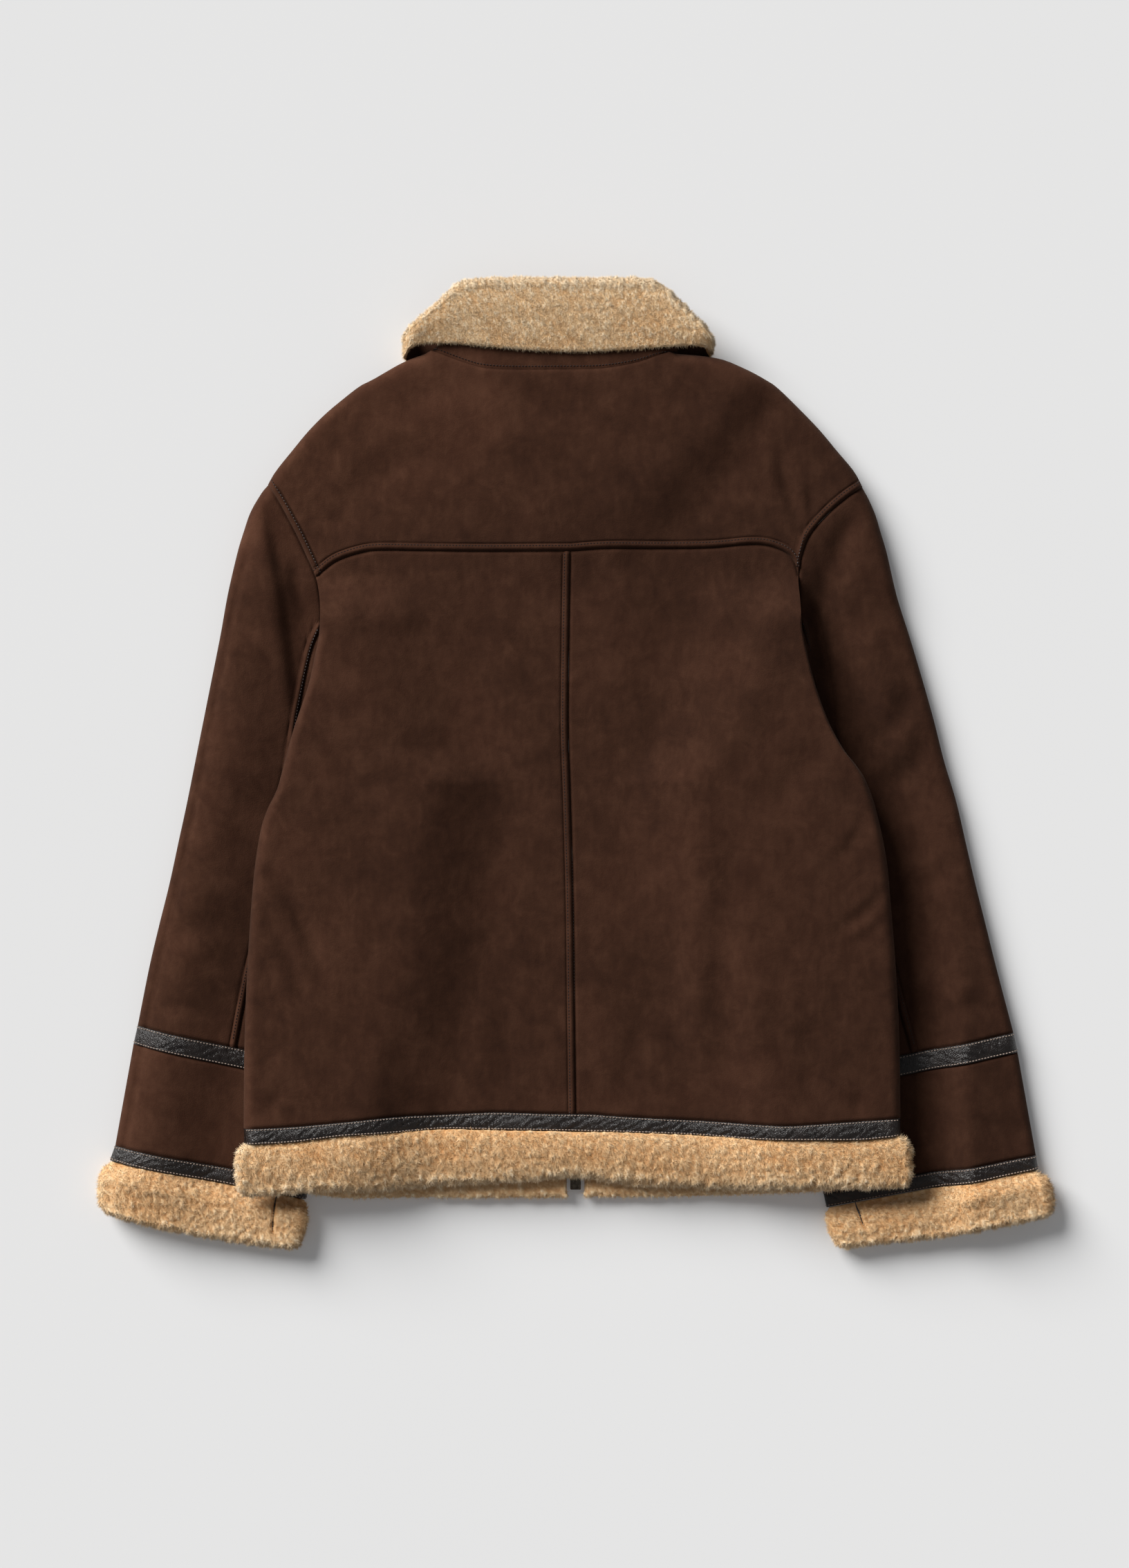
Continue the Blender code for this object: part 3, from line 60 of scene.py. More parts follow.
# A sleeve's swell: its height, and the share of the width that it takes. Then for each side the power
# in its sine, the distances from the body at which it is full and at which the sleeve is pressed down,
# that depth, and the y from which the sleeve is pressed down. Near the armhole the distance changes.
SLEEVE_PUFF = 0.0085
PUFF_SHARE = 0.52
PUFF_MARGIN = 0.015
SLEEVE_SWELL = {
    "left": {"power": 0.6, "full": 0.080, "pressed": -0.040, "depth": 0.0060, "from_y": (0.12, 0.02)},
    "right": {"power": 1.5, "full": 0.070, "pressed": 0.028, "depth": 0.0125, "from_y": (1.00, 0.90)},
}
PRESSED_AT_ARMHOLE = 0.018
PRESSED_Y = (0.02, 0.10)

# How the body rises over the sleeves below it, and the y between which its sides become free edges
LIFT_FULL = 0.018
LIFT_NONE = 0.100
ARM_LIFT_START_Y = 0.165
ARM_LIFT_FULL_Y = 0.118
FREE_EDGE_Y = (0.130, 0.100)

# Collar
COLLAR_MIDDLE_X = -0.015
COLLAR_HALF_WIDTH = 0.133
FALL_EDGE_RADIUS = 0.0030
FALL_WALL = 0.0094
FALL_EDGE_WALL = 0.0044
FALL_THINS_FROM = 0.35
FALL_HEIGHT_FOLD = 0.0385
FALL_HEIGHT_EDGE = 0.0390
FALL_LEATHER = 0.0014
FALL_LEATHER_SPACE = 0.0003
FALL_LIP = 0.0009
FOLD_IN = 0.0018
STAND_TUCK = 0.005
STAND_WALL = 0.0086
STAND_FLOOR = 0.0101
STAND_HEIGHT_FOLD = 0.0186
STAND_HEIGHT_NECK = 0.0196
STAND_NARROWING = 0.77
STAND_STITCH_IN = 0.0030
STAND_STITCH_DIP = (0.0004, 0.0007)
FRONT_FALL_POINT_Y = 0.250
FRONT_FALL_RISE = 0.085
COLLAR_LIFT_REACH = 0.110
COLLAR_LIFT_RUN = 0.080

# Hem and cuffs
BAND_RISE = 0.0006
FRONT_PILE = (0.0125, 0.0105)
HEM_PILE_SPACE = 0.0015
HEM_OVERLAP = 0.0012
FRONT_PILE_IN = 0.0012
HEM_PILE_DEPTH = 0.045
BACK_PILE = (0.0160, 0.0135)
BACK_PILE_CROWN = 0.28
CUFF_PILE_HEIGHT = 0.0260
CUFF_PILE_DEPTH = 0.046
CUFF_BAND_HEIGHT = 0.0176
SLEEVE_BAND_RISE = 0.0008

# Leather bands: depth and radius of the rolled edges, depth and width of the dips along the stitches,
# depth and pitch of the wrinkles, and the crown along the middle
BAND_ROLL = (0.0011, 0.0022)
BAND_DIP = (0.00035, 0.0006)
WRINKLE_DEPTH = 0.00110
WRINKLE_PITCH = 0.0062
BAND_CROWN = 0.0005

# Leather edge of the cuffs' joins: radius, rise, and the depth and width of the groove that it lies in
PIPING_RADIUS = 0.00075
PIPING_RISE = 0.0003
CUFF_JOIN_GROOVE = (0.0030, 0.0013)

# Rounded edges
FOLD_RADIUS = 0.010
EDGE_SHARE = 0.12

# Spacing of the points: coarse and fine panels, bands and fleece, distances in from a border, and
# shares down a band
PANEL_STEP = 0.0032
FRONT_STEP = 0.0060
BAND_STEP = 0.0010
FLEECE_STEP = 0.00115
SEAM_STOPS = (0.0, 0.0004, 0.0009, 0.0015, 0.0023, 0.0032, 0.0042, 0.0051, 0.0058, 0.0064, 0.0070, 0.0078,
              0.0090, 0.0110)
PLAIN_STOPS = (0.0, 0.0006, 0.0014, 0.0024, 0.0038, 0.0058, 0.0085)
EDGE_STOPS = (0.0, 0.0002, 0.0007, 0.0015, 0.0026, 0.0040, 0.0058, 0.0080, 0.0105)
ZIP_STOPS = (0.0, 0.002, 0.005)
PILE_STOPS = (0.0, 0.001, 0.002, 0.004)
BAND_ROWS = (0.0, 0.03, 0.07, 0.12, 0.18, 0.28, 0.40, 0.50, 0.60, 0.72, 0.82, 0.88, 0.93, 0.97, 1.0)

# Seams: the groove on the seam, the welt beside it and the line of stitches behind the welt
GROOVE = (0.0015, 0.0006)
PLAIN_GROOVE = (0.0016, 0.0014)
NECK_GROOVE = 0.4
WELT_RISE = 0.0015
WELT_MIDDLE = 0.0029
WELT_HALF = 0.0031
STITCH_IN = 0.0064
STITCH_DIP = (0.0008, 0.0007)
FRONT_STITCH_IN = 0.0045
BAND_STITCH_IN = 0.0016

# A stitch: pitch, the share of it that half a stitch takes, radius, and how far its middle stands up
# and its ends go down from there
STITCH_PITCH = 0.0027
STITCH_HALF = 0.39
STITCH_RADIUS = 0.00042
STITCH_STAND = 0.00028
STITCH_SINK = 0.00055

# Fleece: size and depth of its locks and of the finer tufts on them, and its fibres
LOCK_SIZE = 0.0072
LOCK_DEPTH = 0.0010
TUFT_SIZE = 0.0033
TUFT_DEPTH = 0.0008
LUMP_DRAW = (1.0, 0.68, 1.0)
LUMP_SWAY = 0.22
LUMP_CROWN = 0.4
FIBRE_LENGTH = 0.0036
FIBRE_RADIUS = 0.00026
FIBRE_SUNK = 0.0003
FIBRE_LEAN = np.radians(54)
FIBRE_LIGHT_UP = 0.8
SKIN_LIGHT_UP = 0.35
BACK_FIBRES = 37000
FRONT_FIBRES = 3000
COLLAR_FIBRES = 34000
CUFF_FIBRES = 17500

# Rim of a fleece: how far its locks stand out, over what distance, and its rounding
RIM_PUSH = 0.0024
RIM_REACH = 0.009
RIM_IN = 0.0030
RIM_RADIUS = 0.0065
RIM_SHARE = 0.06
RIM_STOPS = (0.0, 0.00005, 0.0002, 0.0005, 0.0009, 0.0014, 0.0021, 0.0030, 0.0042, 0.0057, 0.0075)

# Tone of a fleece, from 0, deep, to 1, pale: what its locks, tufts, rims and fibre tips add, and what
# each metre of a groove's depth takes away. The low tone in the creases between locks and tufts and in a
# groove is painted shade, the rims' raised tone is painted light, and the tips' share is partly the
# wool's own paler tips and partly painted shade at the fibres' roots.
LOCK_PAINTED_SHADE = 0.30
TUFT_PAINTED_SHADE = 0.60
RIM_PAINTED_LIGHT = 0.34
TIP_PALENESS_AND_ROOT_SHADE = 0.32
GROOVE_PAINTED_SHADE = 250

# What is turned in at a seam, in a piece's flat cut
TURN_IN = 0.005

# Strength of the listed creases, and of the hide's unevenness on a sleeve
CREASE_STRENGTH = 1.6
SLEEVE_NAP = 0.8

# Zip, from the middle outwards and from its low face up
FRONT_EDGE_X = 0.006
TAPE_X = (0.0031, 0.0057)
TAPE_Z = (0.0040, 0.0052)
TAPE_RIB = 0.00012
TEETH_HALF = 0.0028
TEETH_Z = (0.0025, 0.0065)
TEETH_PITCH = 0.0026
TEETH_TOP_Y = 0.2690
ZIP_BOTTOM_Y = -0.3440
ZIP_TOP_Y = 0.2810

# Edge lines in plan: x, y
LEFT_SHOULDER = ((-0.1216, 0.3498), (-0.1450, 0.3410), (-0.1699, 0.3270), (-0.1839, 0.3200),
                 (-0.2066, 0.3026), (-0.2246, 0.2851), (-0.2392, 0.2676), (-0.2532, 0.2501),
                 (-0.2600, 0.2385))
RIGHT_SHOULDER = ((0.0785, 0.3488), (0.1185, 0.3445), (0.1407, 0.3364), (0.1599, 0.3270), (0.1710, 0.3200),
                  (0.1890, 0.3026), (0.2059, 0.2851), (0.2205, 0.2676), (0.2351, 0.2501), (0.2425, 0.2365))
BACK_NECK = ((-0.1216, 0.3498), (-0.1129, 0.3469), (-0.0946, 0.3401), (-0.0775, 0.3353), (-0.0526, 0.3338),
             (-0.0236, 0.3338), (0.0150, 0.3344), (0.0343, 0.3364), (0.0535, 0.3405), (0.0686, 0.3459),
             (0.0785, 0.3488))
LEFT_FRONT_NECK = ((-0.1216, 0.3498), (-0.1050, 0.3220), (-0.0750, 0.2990), (-0.0400, 0.2865),
                   (-0.0060, 0.2830))
RIGHT_FRONT_NECK = ((0.0785, 0.3488), (0.0700, 0.3220), (0.0520, 0.2990), (0.0300, 0.2870), (0.0060, 0.2830))
LEFT_ARMHOLE = ((-0.2600, 0.2385), (-0.2504, 0.2241), (-0.2360, 0.1975), (-0.2273, 0.1789), (-0.2190, 0.1600))
RIGHT_ARMHOLE = ((0.2425, 0.2365), (0.2277, 0.2264), (0.2126, 0.2131), (0.1982, 0.1969), (0.1918, 0.1824),
                 (0.1877, 0.1620))
LEFT_YOKE_SEAM = ((-0.2190, 0.1600), (-0.2131, 0.1650), (-0.2015, 0.1735), (-0.1839, 0.1798),
                  (-0.1663, 0.1825), (-0.1252, 0.1821), (-0.0669, 0.1815), (-0.0044, 0.1817))
RIGHT_YOKE_SEAM = ((0.1877, 0.1620), (0.1846, 0.1729), (0.1776, 0.1804), (0.1626, 0.1862), (0.1453, 0.1873),
                   (0.1129, 0.1845), (0.0690, 0.1839), (0.0250, 0.1838), (-0.0044, 0.1817))
CENTRE_SEAM = ((-0.0044, 0.1817), (-0.0056, 0.1036), (-0.0062, 0.0342), (-0.0044, -0.0237),
               (-0.0021, -0.1104), (-0.0010, -0.1972), (0.0002, -0.2925))
LEFT_SIDE = ((-0.2190, 0.1600), (-0.2157, 0.1454), (-0.2141, 0.1300), (-0.2150, 0.1130), (-0.2188, 0.0951),
             (-0.2245, 0.0690), (-0.2361, 0.0343), (-0.2437, 0.0082), (-0.2506, -0.0179), (-0.2593, -0.0364),
             (-0.2650, -0.0550), (-0.2700, -0.0880), (-0.2738, -0.1337), (-0.2767, -0.1859),
             (-0.2784, -0.2380), (-0.2790, -0.3035))
RIGHT_SIDE = ((0.1877, 0.1620), (0.1885, 0.1400), (0.1896, 0.1180), (0.1937, 0.0980), (0.2012, 0.0690),
              (0.2128, 0.0372), (0.2255, 0.0140), (0.2360, 0.0007), (0.2441, -0.0121), (0.2522, -0.0353),
              (0.2609, -0.0758), (0.2649, -0.1163), (0.2690, -0.1685), (0.2719, -0.2264), (0.2730, -0.2945))
LEFT_BAND_TOP = ((-0.2790, -0.3035), (-0.2372, -0.3015), (-0.1950, -0.2977), (-0.1529, -0.2939),
                 (-0.1107, -0.2928), (-0.0686, -0.2911), (-0.0264, -0.2922), (0.0002, -0.2925))
RIGHT_BAND_TOP = ((0.2730, -0.2945), (0.2231, -0.2977), (0.1804, -0.3006), (0.1521, -0.3000),
                  (0.0949, -0.2974), (0.0383, -0.2945), (0.0158, -0.2928), (0.0002, -0.2925))
LEFT_BAND_FOOT = ((-0.2780, -0.3168), (-0.2372, -0.3147), (-0.1950, -0.3095), (-0.1529, -0.3075),
                  (-0.1107, -0.3052), (-0.0686, -0.3060), (-0.0264, -0.3066), (0.0002, -0.3072))
RIGHT_BAND_FOOT = ((0.2730, -0.3095), (0.2400, -0.3128), (0.2093, -0.3130), (0.1521, -0.3128),
                   (0.0949, -0.3101), (0.0383, -0.3080), (0.0158, -0.3076), (0.0002, -0.3072))
LEFT_PILE_END = ((-0.2780, -0.3168), (-0.2862, -0.3250), (-0.2870, -0.3400), (-0.2860, -0.3540),
                 (-0.2800, -0.3620))
RIGHT_PILE_END = ((0.2730, -0.3095), (0.2825, -0.3160), (0.2845, -0.3290), (0.2840, -0.3440),
                  (0.2785, -0.3545))
BACK_PILE_FOOT = ((-0.2800, -0.3620), (-0.2572, -0.3610), (-0.2276, -0.3587), (-0.1975, -0.3570),
                  (-0.1575, -0.3576), (-0.1175, -0.3547), (-0.0775, -0.3529), (-0.0375, -0.3506),
                  (-0.0079, -0.3477), (0.0118, -0.3483), (0.0431, -0.3535), (0.0843, -0.3558),
                  (0.1260, -0.3568), (0.1880, -0.3547), (0.2292, -0.3558), (0.2785, -0.3545))
FRONT_FOOT_Y = -0.3060
FRONT_BAND_FOOT_Y = -0.3195
FRONT_PILE_FOOT = {
    "left": ((-0.2760, -0.3520), (-0.2300, -0.3570), (-0.1990, -0.3630), (-0.1000, -0.3650),
             (-0.0075, -0.3650)),
    "right": ((0.2720, -0.3480), (0.2200, -0.3560), (0.1500, -0.3610), (0.0800, -0.3640), (0.0075, -0.3645)),
}
PILE_EDGE_X = 0.0075

# Collar lines: the fall's fold and lower edge at the back, then its front ends
FALL_FOLD = ((-0.1455, 0.3600), (-0.1438, 0.3630), (-0.1360, 0.3710), (-0.1150, 0.3905), (-0.1010, 0.4035),
             (-0.0870, 0.4093), (-0.0500, 0.4110), (0.0150, 0.4110), (0.0560, 0.4105), (0.0725, 0.4055),
             (0.0870, 0.3914), (0.1050, 0.3728), (0.1145, 0.3605), (0.1160, 0.3545))
FALL_EDGE = ((-0.1454, 0.3440), (-0.1385, 0.3526), (-0.1285, 0.3550), (-0.1002, 0.3549), (-0.0716, 0.3520),
             (-0.0426, 0.3497), (-0.0137, 0.3481), (0.0150, 0.3481), (0.0436, 0.3497), (0.0726, 0.3520),
             (0.1003, 0.3539), (0.1105, 0.3528), (0.1162, 0.3482))
FRONT_FALL_FOLDS = {
    "left": ((-0.1455, 0.3600), (-0.1100, 0.3660), (-0.0600, 0.3650), (-0.0080, 0.3620)),
    "right": ((0.1160, 0.3545), (0.0900, 0.3640), (0.0500, 0.3650), (0.0080, 0.3620)),
}
FRONT_FALL_EDGES = {
    "left": ((-0.1454, 0.3440), (-0.1250, 0.3180), (-0.0850, 0.2810), (-0.0360, 0.2510)),
    "right": ((0.1162, 0.3482), (0.1030, 0.3260), (0.0720, 0.2830), (0.0340, 0.2530)),
}

EDGE_LINES = {
    "left": {"shoulder": LEFT_SHOULDER, "armhole": LEFT_ARMHOLE, "side": LEFT_SIDE, "yoke": LEFT_YOKE_SEAM,
             "band": LEFT_BAND_TOP, "neck": LEFT_FRONT_NECK},
    "right": {"shoulder": RIGHT_SHOULDER, "armhole": RIGHT_ARMHOLE, "side": RIGHT_SIDE,
              "yoke": RIGHT_YOKE_SEAM, "band": RIGHT_BAND_TOP, "neck": RIGHT_FRONT_NECK},
}

# Sleeves. The head runs from the shoulder along the armhole seam to the hidden underarm point.
# Each cross line is given by its end on the outer edge and its end on the inner edge.
SLEEVES = {
    "left": {
        "head": (*LEFT_ARMHOLE, *LEFT_SIDE[1:4], (-0.2080, 0.0850), (-0.1970, 0.0500), (-0.1800, 0.0150),
                 (-0.1500, -0.0120)),
        "outer": ((-0.2600, 0.2385), (-0.2660, 0.2310), (-0.2742, 0.2157), (-0.2794, 0.1981),
                  (-0.2841, 0.1806), (-0.2923, 0.1456), (-0.2987, 0.1106), (-0.3057, 0.0755),
                  (-0.3127, 0.0405), (-0.3197, 0.0055), (-0.3267, -0.0296), (-0.3343, -0.0646),
                  (-0.3419, -0.0997), (-0.3506, -0.1347), (-0.3588, -0.1697), (-0.3685, -0.2185)),
        "inner": ((-0.1500, -0.0120), (-0.1550, -0.0600), (-0.1630, -0.1200), (-0.1920, -0.2590)),
        "band_top": ((-0.3685, -0.2185), (-0.1920, -0.2590)),
        "band_foot": ((-0.3720, -0.2340), (-0.1960, -0.2750)),
        "cuff_band_top": ((-0.3875, -0.3200), (-0.2250, -0.3530)),
        "cuff_band_foot": ((-0.3920, -0.3325), (-0.2285, -0.3660)),
        "cuff_outer": ((-0.3925, -0.3330), (-0.4020, -0.3410), (-0.4045, -0.3560), (-0.4035, -0.3700),
                       (-0.3960, -0.3780)),
        "cuff_inner": ((-0.2290, -0.3665), (-0.2260, -0.3760), (-0.2265, -0.3900), (-0.2330, -0.4090)),
        "cuff_foot": ((-0.3960, -0.3780), (-0.3600, -0.3880), (-0.3224, -0.3966), (-0.2755, -0.4045),
                      (-0.2330, -0.4090)),
        "fold": ((-0.2658, 0.2145), (-0.2600, 0.1854), (-0.2542, 0.1564), (-0.2496, 0.1215),
                 (-0.2443, 0.0751), (-0.2397, 0.0344)),
    },
    "right": {
        "head": (*RIGHT_ARMHOLE, *RIGHT_SIDE[1:3], (0.1840, 0.0850), (0.1730, 0.0500), (0.1560, 0.0150),
                 (0.1280, -0.0120)),
        "outer": ((0.2425, 0.2365), (0.2480, 0.2260), (0.2530, 0.2130), (0.2570, 0.1970), (0.2613, 0.1806),
                  (0.2695, 0.1456), (0.2806, 0.1106), (0.2911, 0.0755), (0.3010, 0.0405), (0.3098, 0.0055),
                  (0.3203, -0.0296), (0.3284, -0.0646), (0.3366, -0.0997), (0.3454, -0.1347),
                  (0.3541, -0.1697), (0.3685, -0.2245)),
        "inner": ((0.1280, -0.0120), (0.1350, -0.0600), (0.1450, -0.1200), (0.1870, -0.2640)),
        "band_top": ((0.3685, -0.2245), (0.1870, -0.2640)),
        "band_foot": ((0.3720, -0.2410), (0.1920, -0.2800)),
        "cuff_band_top": ((0.3875, -0.3280), (0.2100, -0.3600)),
        "cuff_band_foot": ((0.3895, -0.3400), (0.2130, -0.3735)),
        "cuff_outer": ((0.3900, -0.3405), (0.4000, -0.3470), (0.4050, -0.3600), (0.4050, -0.3735),
                       (0.3980, -0.3810)),
        "cuff_inner": ((0.2135, -0.3740), (0.2110, -0.3800), (0.2130, -0.3930), (0.2220, -0.4080)),
        "cuff_foot": ((0.3980, -0.3810), (0.3560, -0.3890), (0.3106, -0.3980), (0.2660, -0.4030),
                      (0.2220, -0.4080)),
        "fold": ((0.1989, 0.1564), (0.2105, 0.1274), (0.2181, 0.0925), (0.2227, 0.0576), (0.2262, 0.0199)),
    },
}
CUFF_JOINS = {
    "left": ((-0.2500, -0.3600), (-0.2534, -0.3646), (-0.2550, -0.3780), (-0.2557, -0.3920)),
    "right": ((0.2362, -0.3665), (0.2376, -0.3720), (0.2408, -0.3800), (0.2434, -0.3880)),
}

# Shares across a sleeve where its hind and front seams lie, its mean width, and its fold's depth
SLEEVE_SEAM = 0.47
SLEEVE_FRONT_SEAM = 0.50
SLEEVE_MEAN_WIDTH = 0.17
SLEEVE_FOLD_DEPTH = 0.0038

# Creases, listed one by one: start x, start y, end x, end y, bow, width, depth. Depths below 0 are ridges.
BACK_CREASES = (
    (0.1270, -0.0650, 0.1290, -0.2650, 0.004, 0.0140, 0.0024),
    (0.0960, -0.1250, 0.1010, -0.2480, -0.003, 0.0100, -0.0009),
    (0.1580, -0.1500, 0.1540, -0.2700, 0.003, 0.0120, -0.0008),
    (-0.2549, -0.0890, -0.2106, -0.1820, -0.006, 0.0075, 0.0020),
    (-0.2610, -0.1230, -0.2250, -0.2060, -0.005, 0.0065, 0.0013),
    (-0.2500, -0.0560, -0.1920, -0.1400, -0.008, 0.0110, 0.0010),
    (-0.1150, 0.2650, -0.2050, 0.2050, 0.010, 0.0160, 0.0012),
    (-0.2330, 0.2260, -0.1900, 0.2010, 0.003, 0.0070, 0.0009),
    (0.1978, 0.2396, 0.2007, 0.2105, 0.001, 0.0045, 0.0013),
    (0.1720, 0.2720, 0.1910, 0.2030, 0.003, 0.0065, 0.0016),
    (0.1100, 0.2500, 0.1850, 0.2080, -0.008, 0.0150, 0.0011),
    (-0.2150, 0.0400, -0.1500, -0.0300, 0.008, 0.0160, 0.0014),
    (-0.2290, 0.0150, -0.1900, -0.0350, 0.004, 0.0080, 0.0010),
    (0.2050, 0.0200, 0.1500, -0.0400, -0.008, 0.0160, 0.0014),
    (0.2440, -0.0400, 0.2130, -0.0830, -0.004, 0.0060, 0.0009),
    (0.2620, -0.1010, 0.2190, -0.1380, -0.003, 0.0055, 0.0012),
    (0.2640, -0.1230, 0.2300, -0.1500, -0.002, 0.0050, 0.0008),
    (-0.2630, -0.2929, -0.2480, -0.2700, 0.002, 0.0060, 0.0011),
    (0.2409, -0.2940, 0.2380, -0.2720, -0.002, 0.0060, 0.0011),
    (-0.1720, 0.1650, -0.1600, 0.1100, 0.006, 0.0130, 0.0011),
    (0.1500, 0.1700, 0.1370, 0.1050, -0.006, 0.0130, 0.0011),
    (-0.0750, 0.1650, -0.0820, 0.0300, 0.005, 0.0200, 0.0012),
    (0.0700, 0.1500, 0.0620, 0.0100, -0.004, 0.0200, 0.0012),
    (-0.1480, -0.1900, -0.1390, -0.2850, 0.004, 0.0150, 0.0012),
    (-0.0560, -0.1700, -0.0620, -0.2800, -0.003, 0.0140, 0.0009),
    (0.0540, -0.2050, 0.0490, -0.2860, 0.003, 0.0120, 0.0009),
    (0.1980, -0.2000, 0.2030, -0.2880, 0.003, 0.0110, 0.0010),
    (-0.0600, 0.3000, 0.0200, 0.2960, -0.005, 0.0160, 0.0009),
    (-0.1500, 0.2950, -0.0950, 0.3200, -0.004, 0.0110, 0.0009),
    (0.1240, 0.2950, 0.0800, 0.3180, 0.004, 0.0110, 0.0009),
)
FRONT_CREASES = (
    (0.060, 0.180, 0.180, 0.060, 0.010, 0.016, 0.0016),
    (0.090, 0.230, 0.200, 0.170, -0.008, 0.014, 0.0014),
    (0.050, -0.060, 0.058, -0.230, 0.005, 0.014, 0.0015),
    (0.130, -0.020, 0.140, -0.190, -0.006, 0.018, 0.0016),
    (0.100, 0.020, 0.210, -0.060, 0.008, 0.014, 0.0014),
    (0.200, -0.200, 0.190, -0.290, 0.003, 0.012, 0.0012),
)
SLEEVE_CREASES = {
    "left": (
        (-0.3020, 0.0500, -0.2620, -0.0050, 0.006, 0.0120, 0.0016),
        (-0.3160, 0.0020, -0.2750, -0.0400, 0.006, 0.0100, 0.0015),
        (-0.2780, 0.1500, -0.2700, 0.0700, 0.004, 0.0120, 0.0014),
        (-0.3300, -0.0700, -0.2950, -0.1000, 0.003, 0.0090, 0.0011),
        (-0.3470, -0.1500, -0.2980, -0.1330, -0.006, 0.0110, 0.0012),
        (-0.3560, -0.2050, -0.3100, -0.2080, -0.004, 0.0070, 0.0008),
        (-0.2360, 0.1750, -0.2290, 0.1300, 0.003, 0.0060, 0.0014),
    ),
    "right": (
        (0.2830, 0.0700, 0.2540, 0.0220, -0.006, 0.0110, 0.0016),
        (0.2960, 0.0250, 0.2620, -0.0180, -0.006, 0.0100, 0.0015),
        (0.2360, 0.2150, 0.2230, 0.1680, 0.004, 0.0080, 0.0015),
        (0.2480, 0.1700, 0.2420, 0.1000, 0.003, 0.0120, 0.0014),
        (0.3240, -0.0750, 0.2900, -0.1050, -0.003, 0.0090, 0.0011),
        (0.3440, -0.1450, 0.2980, -0.1300, 0.006, 0.0110, 0.0012),
        (0.3520, -0.2050, 0.3120, -0.2080, 0.004, 0.0070, 0.0008),
    ),
}


# Lines and patches in plan

SPAN_STEPS = 14


def smooth(points):
    """Dense smooth line through the points: each span is the cubic set by its neighbours."""
    p = np.asarray(points, float)
    p = np.vstack([2 * p[0] - p[1], p, 2 * p[-1] - p[-2]])
    t = np.linspace(0, 1, SPAN_STEPS, endpoint=False)[:, None]
    spans = [0.5 * (2 * b + (c - a) * t + (2 * a - 5 * b + 4 * c - d) * t**2 + (3 * b - a - 3 * c + d) * t**3)
             for a, b, c, d in zip(p[:-3], p[1:-2], p[2:-1], p[3:])]
    return np.vstack(spans + [p[-2:-1]])


def split_at(first, second):
    """Two lines that meet end to end, cut from one smooth line through both."""
    whole = smooth((*first, *second[1:]))
    meeting = (len(first) - 1) * SPAN_STEPS
    return whole[:meeting + 1], whole[meeting:]


def joined(*lines):
    """One line from lines that meet end to end, with a corner where they meet."""
    return np.vstack([line[:-1] for line in lines[:-1]] + [lines[-1]])


def runs_of(line):
    """Distance of each point of a line from its start."""
    return np.insert(np.cumsum(np.linalg.norm(np.diff(line, axis=0), axis=1)), 0, 0.0)


def length_of(line):
    """Length of a line."""
    return runs_of(line)[-1]


def along(line, shares):
    """Points at shares of a line's length."""
    run = runs_of(line)
    at = np.asarray(shares) * run[-1]
    return np.stack([np.interp(at, run, line[:, k]) for k in range(line.shape[1])], axis=-1)


def patch(u, v, top, foot, start, end):
    """Plan points at shares u across and v down a patch inside four lines.

    The point is (1 - v) top(u) + v foot(u) + (1 - u) start(v) + u end(v), less the same blend of the
    four corners, which the two sums would count twice.
    """
    u, v = np.broadcast_arrays(u, v)
    across = (1 - v)[..., None] * along(top, u) + v[..., None] * along(foot, u)
    down = (1 - u)[..., None] * along(start, v) + u[..., None] * along(end, v)
    corners = ((1 - u) * (1 - v))[..., None] * top[0] + (u * (1 - v))[..., None] * top[-1]
    corners = corners + ((1 - u) * v)[..., None] * foot[0] + (u * v)[..., None] * foot[-1]
    return across + down - corners


def sided(top, foot):
    """The four lines of a patch with straight sides between an upper and a lower line."""
    return top, foot, np.array([top[0], foot[0]]), np.array([top[-1], foot[-1]])


def spread(length, near, far, step):
    """Shares of a length: at given distances from each end, and even spans of about step between.

    For a row of lengths the result has a column of shares for each.
    """
    length = np.asarray(length, float)
    first, last = near[-1], length - far[-1]
    spans = max(1, round(float(np.max(last - first)) / step))
    marks = [*near, *(first + (last - first) * k / spans for k in range(1, spans))]
    marks += [length - distance for distance in far[::-1]]
    return np.stack([np.broadcast_to(mark, length.shape) for mark in marks]) / length


def run_in(grid, axis, from_end=False):
    """Distance of each grid point from one border, measured along its grid line."""
    steps = np.linalg.norm(np.diff(grid, axis=axis), axis=2)
    run = np.insert(np.cumsum(steps, axis=axis), 0, 0.0, axis=axis)
    if from_end:
        run = np.take(run, [-1], axis=axis) - run
    return run


def row_lengths(lines, v):
    """Length of a patch's row at each share v down it: the sum of 24 straight spans."""
    rows = patch(np.linspace(0.0, 1.0, 25)[None, :], np.asarray(v)[:, None], *lines)
    return np.linalg.norm(np.diff(rows, axis=1), axis=2).sum(axis=1)


def inset(plan, gap, rows=(True, True), columns=(True, True)):
    """Plan grid with its border moved in by a seam gap."""
    plan = plan.copy()
    for chosen, edge, inner in ((rows[0], 0, 1), (rows[1], -1, -2)):
        if chosen:
            way = plan[inner] - plan[edge]
            plan[edge] += way / np.linalg.norm(way, axis=-1, keepdims=True) * gap
    for chosen, edge, inner in ((columns[0], 0, 1), (columns[1], -1, -2)):
        if chosen:
            way = plan[:, inner] - plan[:, edge]
            plan[:, edge] += way / np.linalg.norm(way, axis=-1, keepdims=True) * gap
    return plan


def skins(plan, inner, rise):
    """Outer and inner skin over a plan: the outer one stands above the inner one by a rise."""
    return np.dstack([plan, inner + rise]), np.dstack([plan, inner])


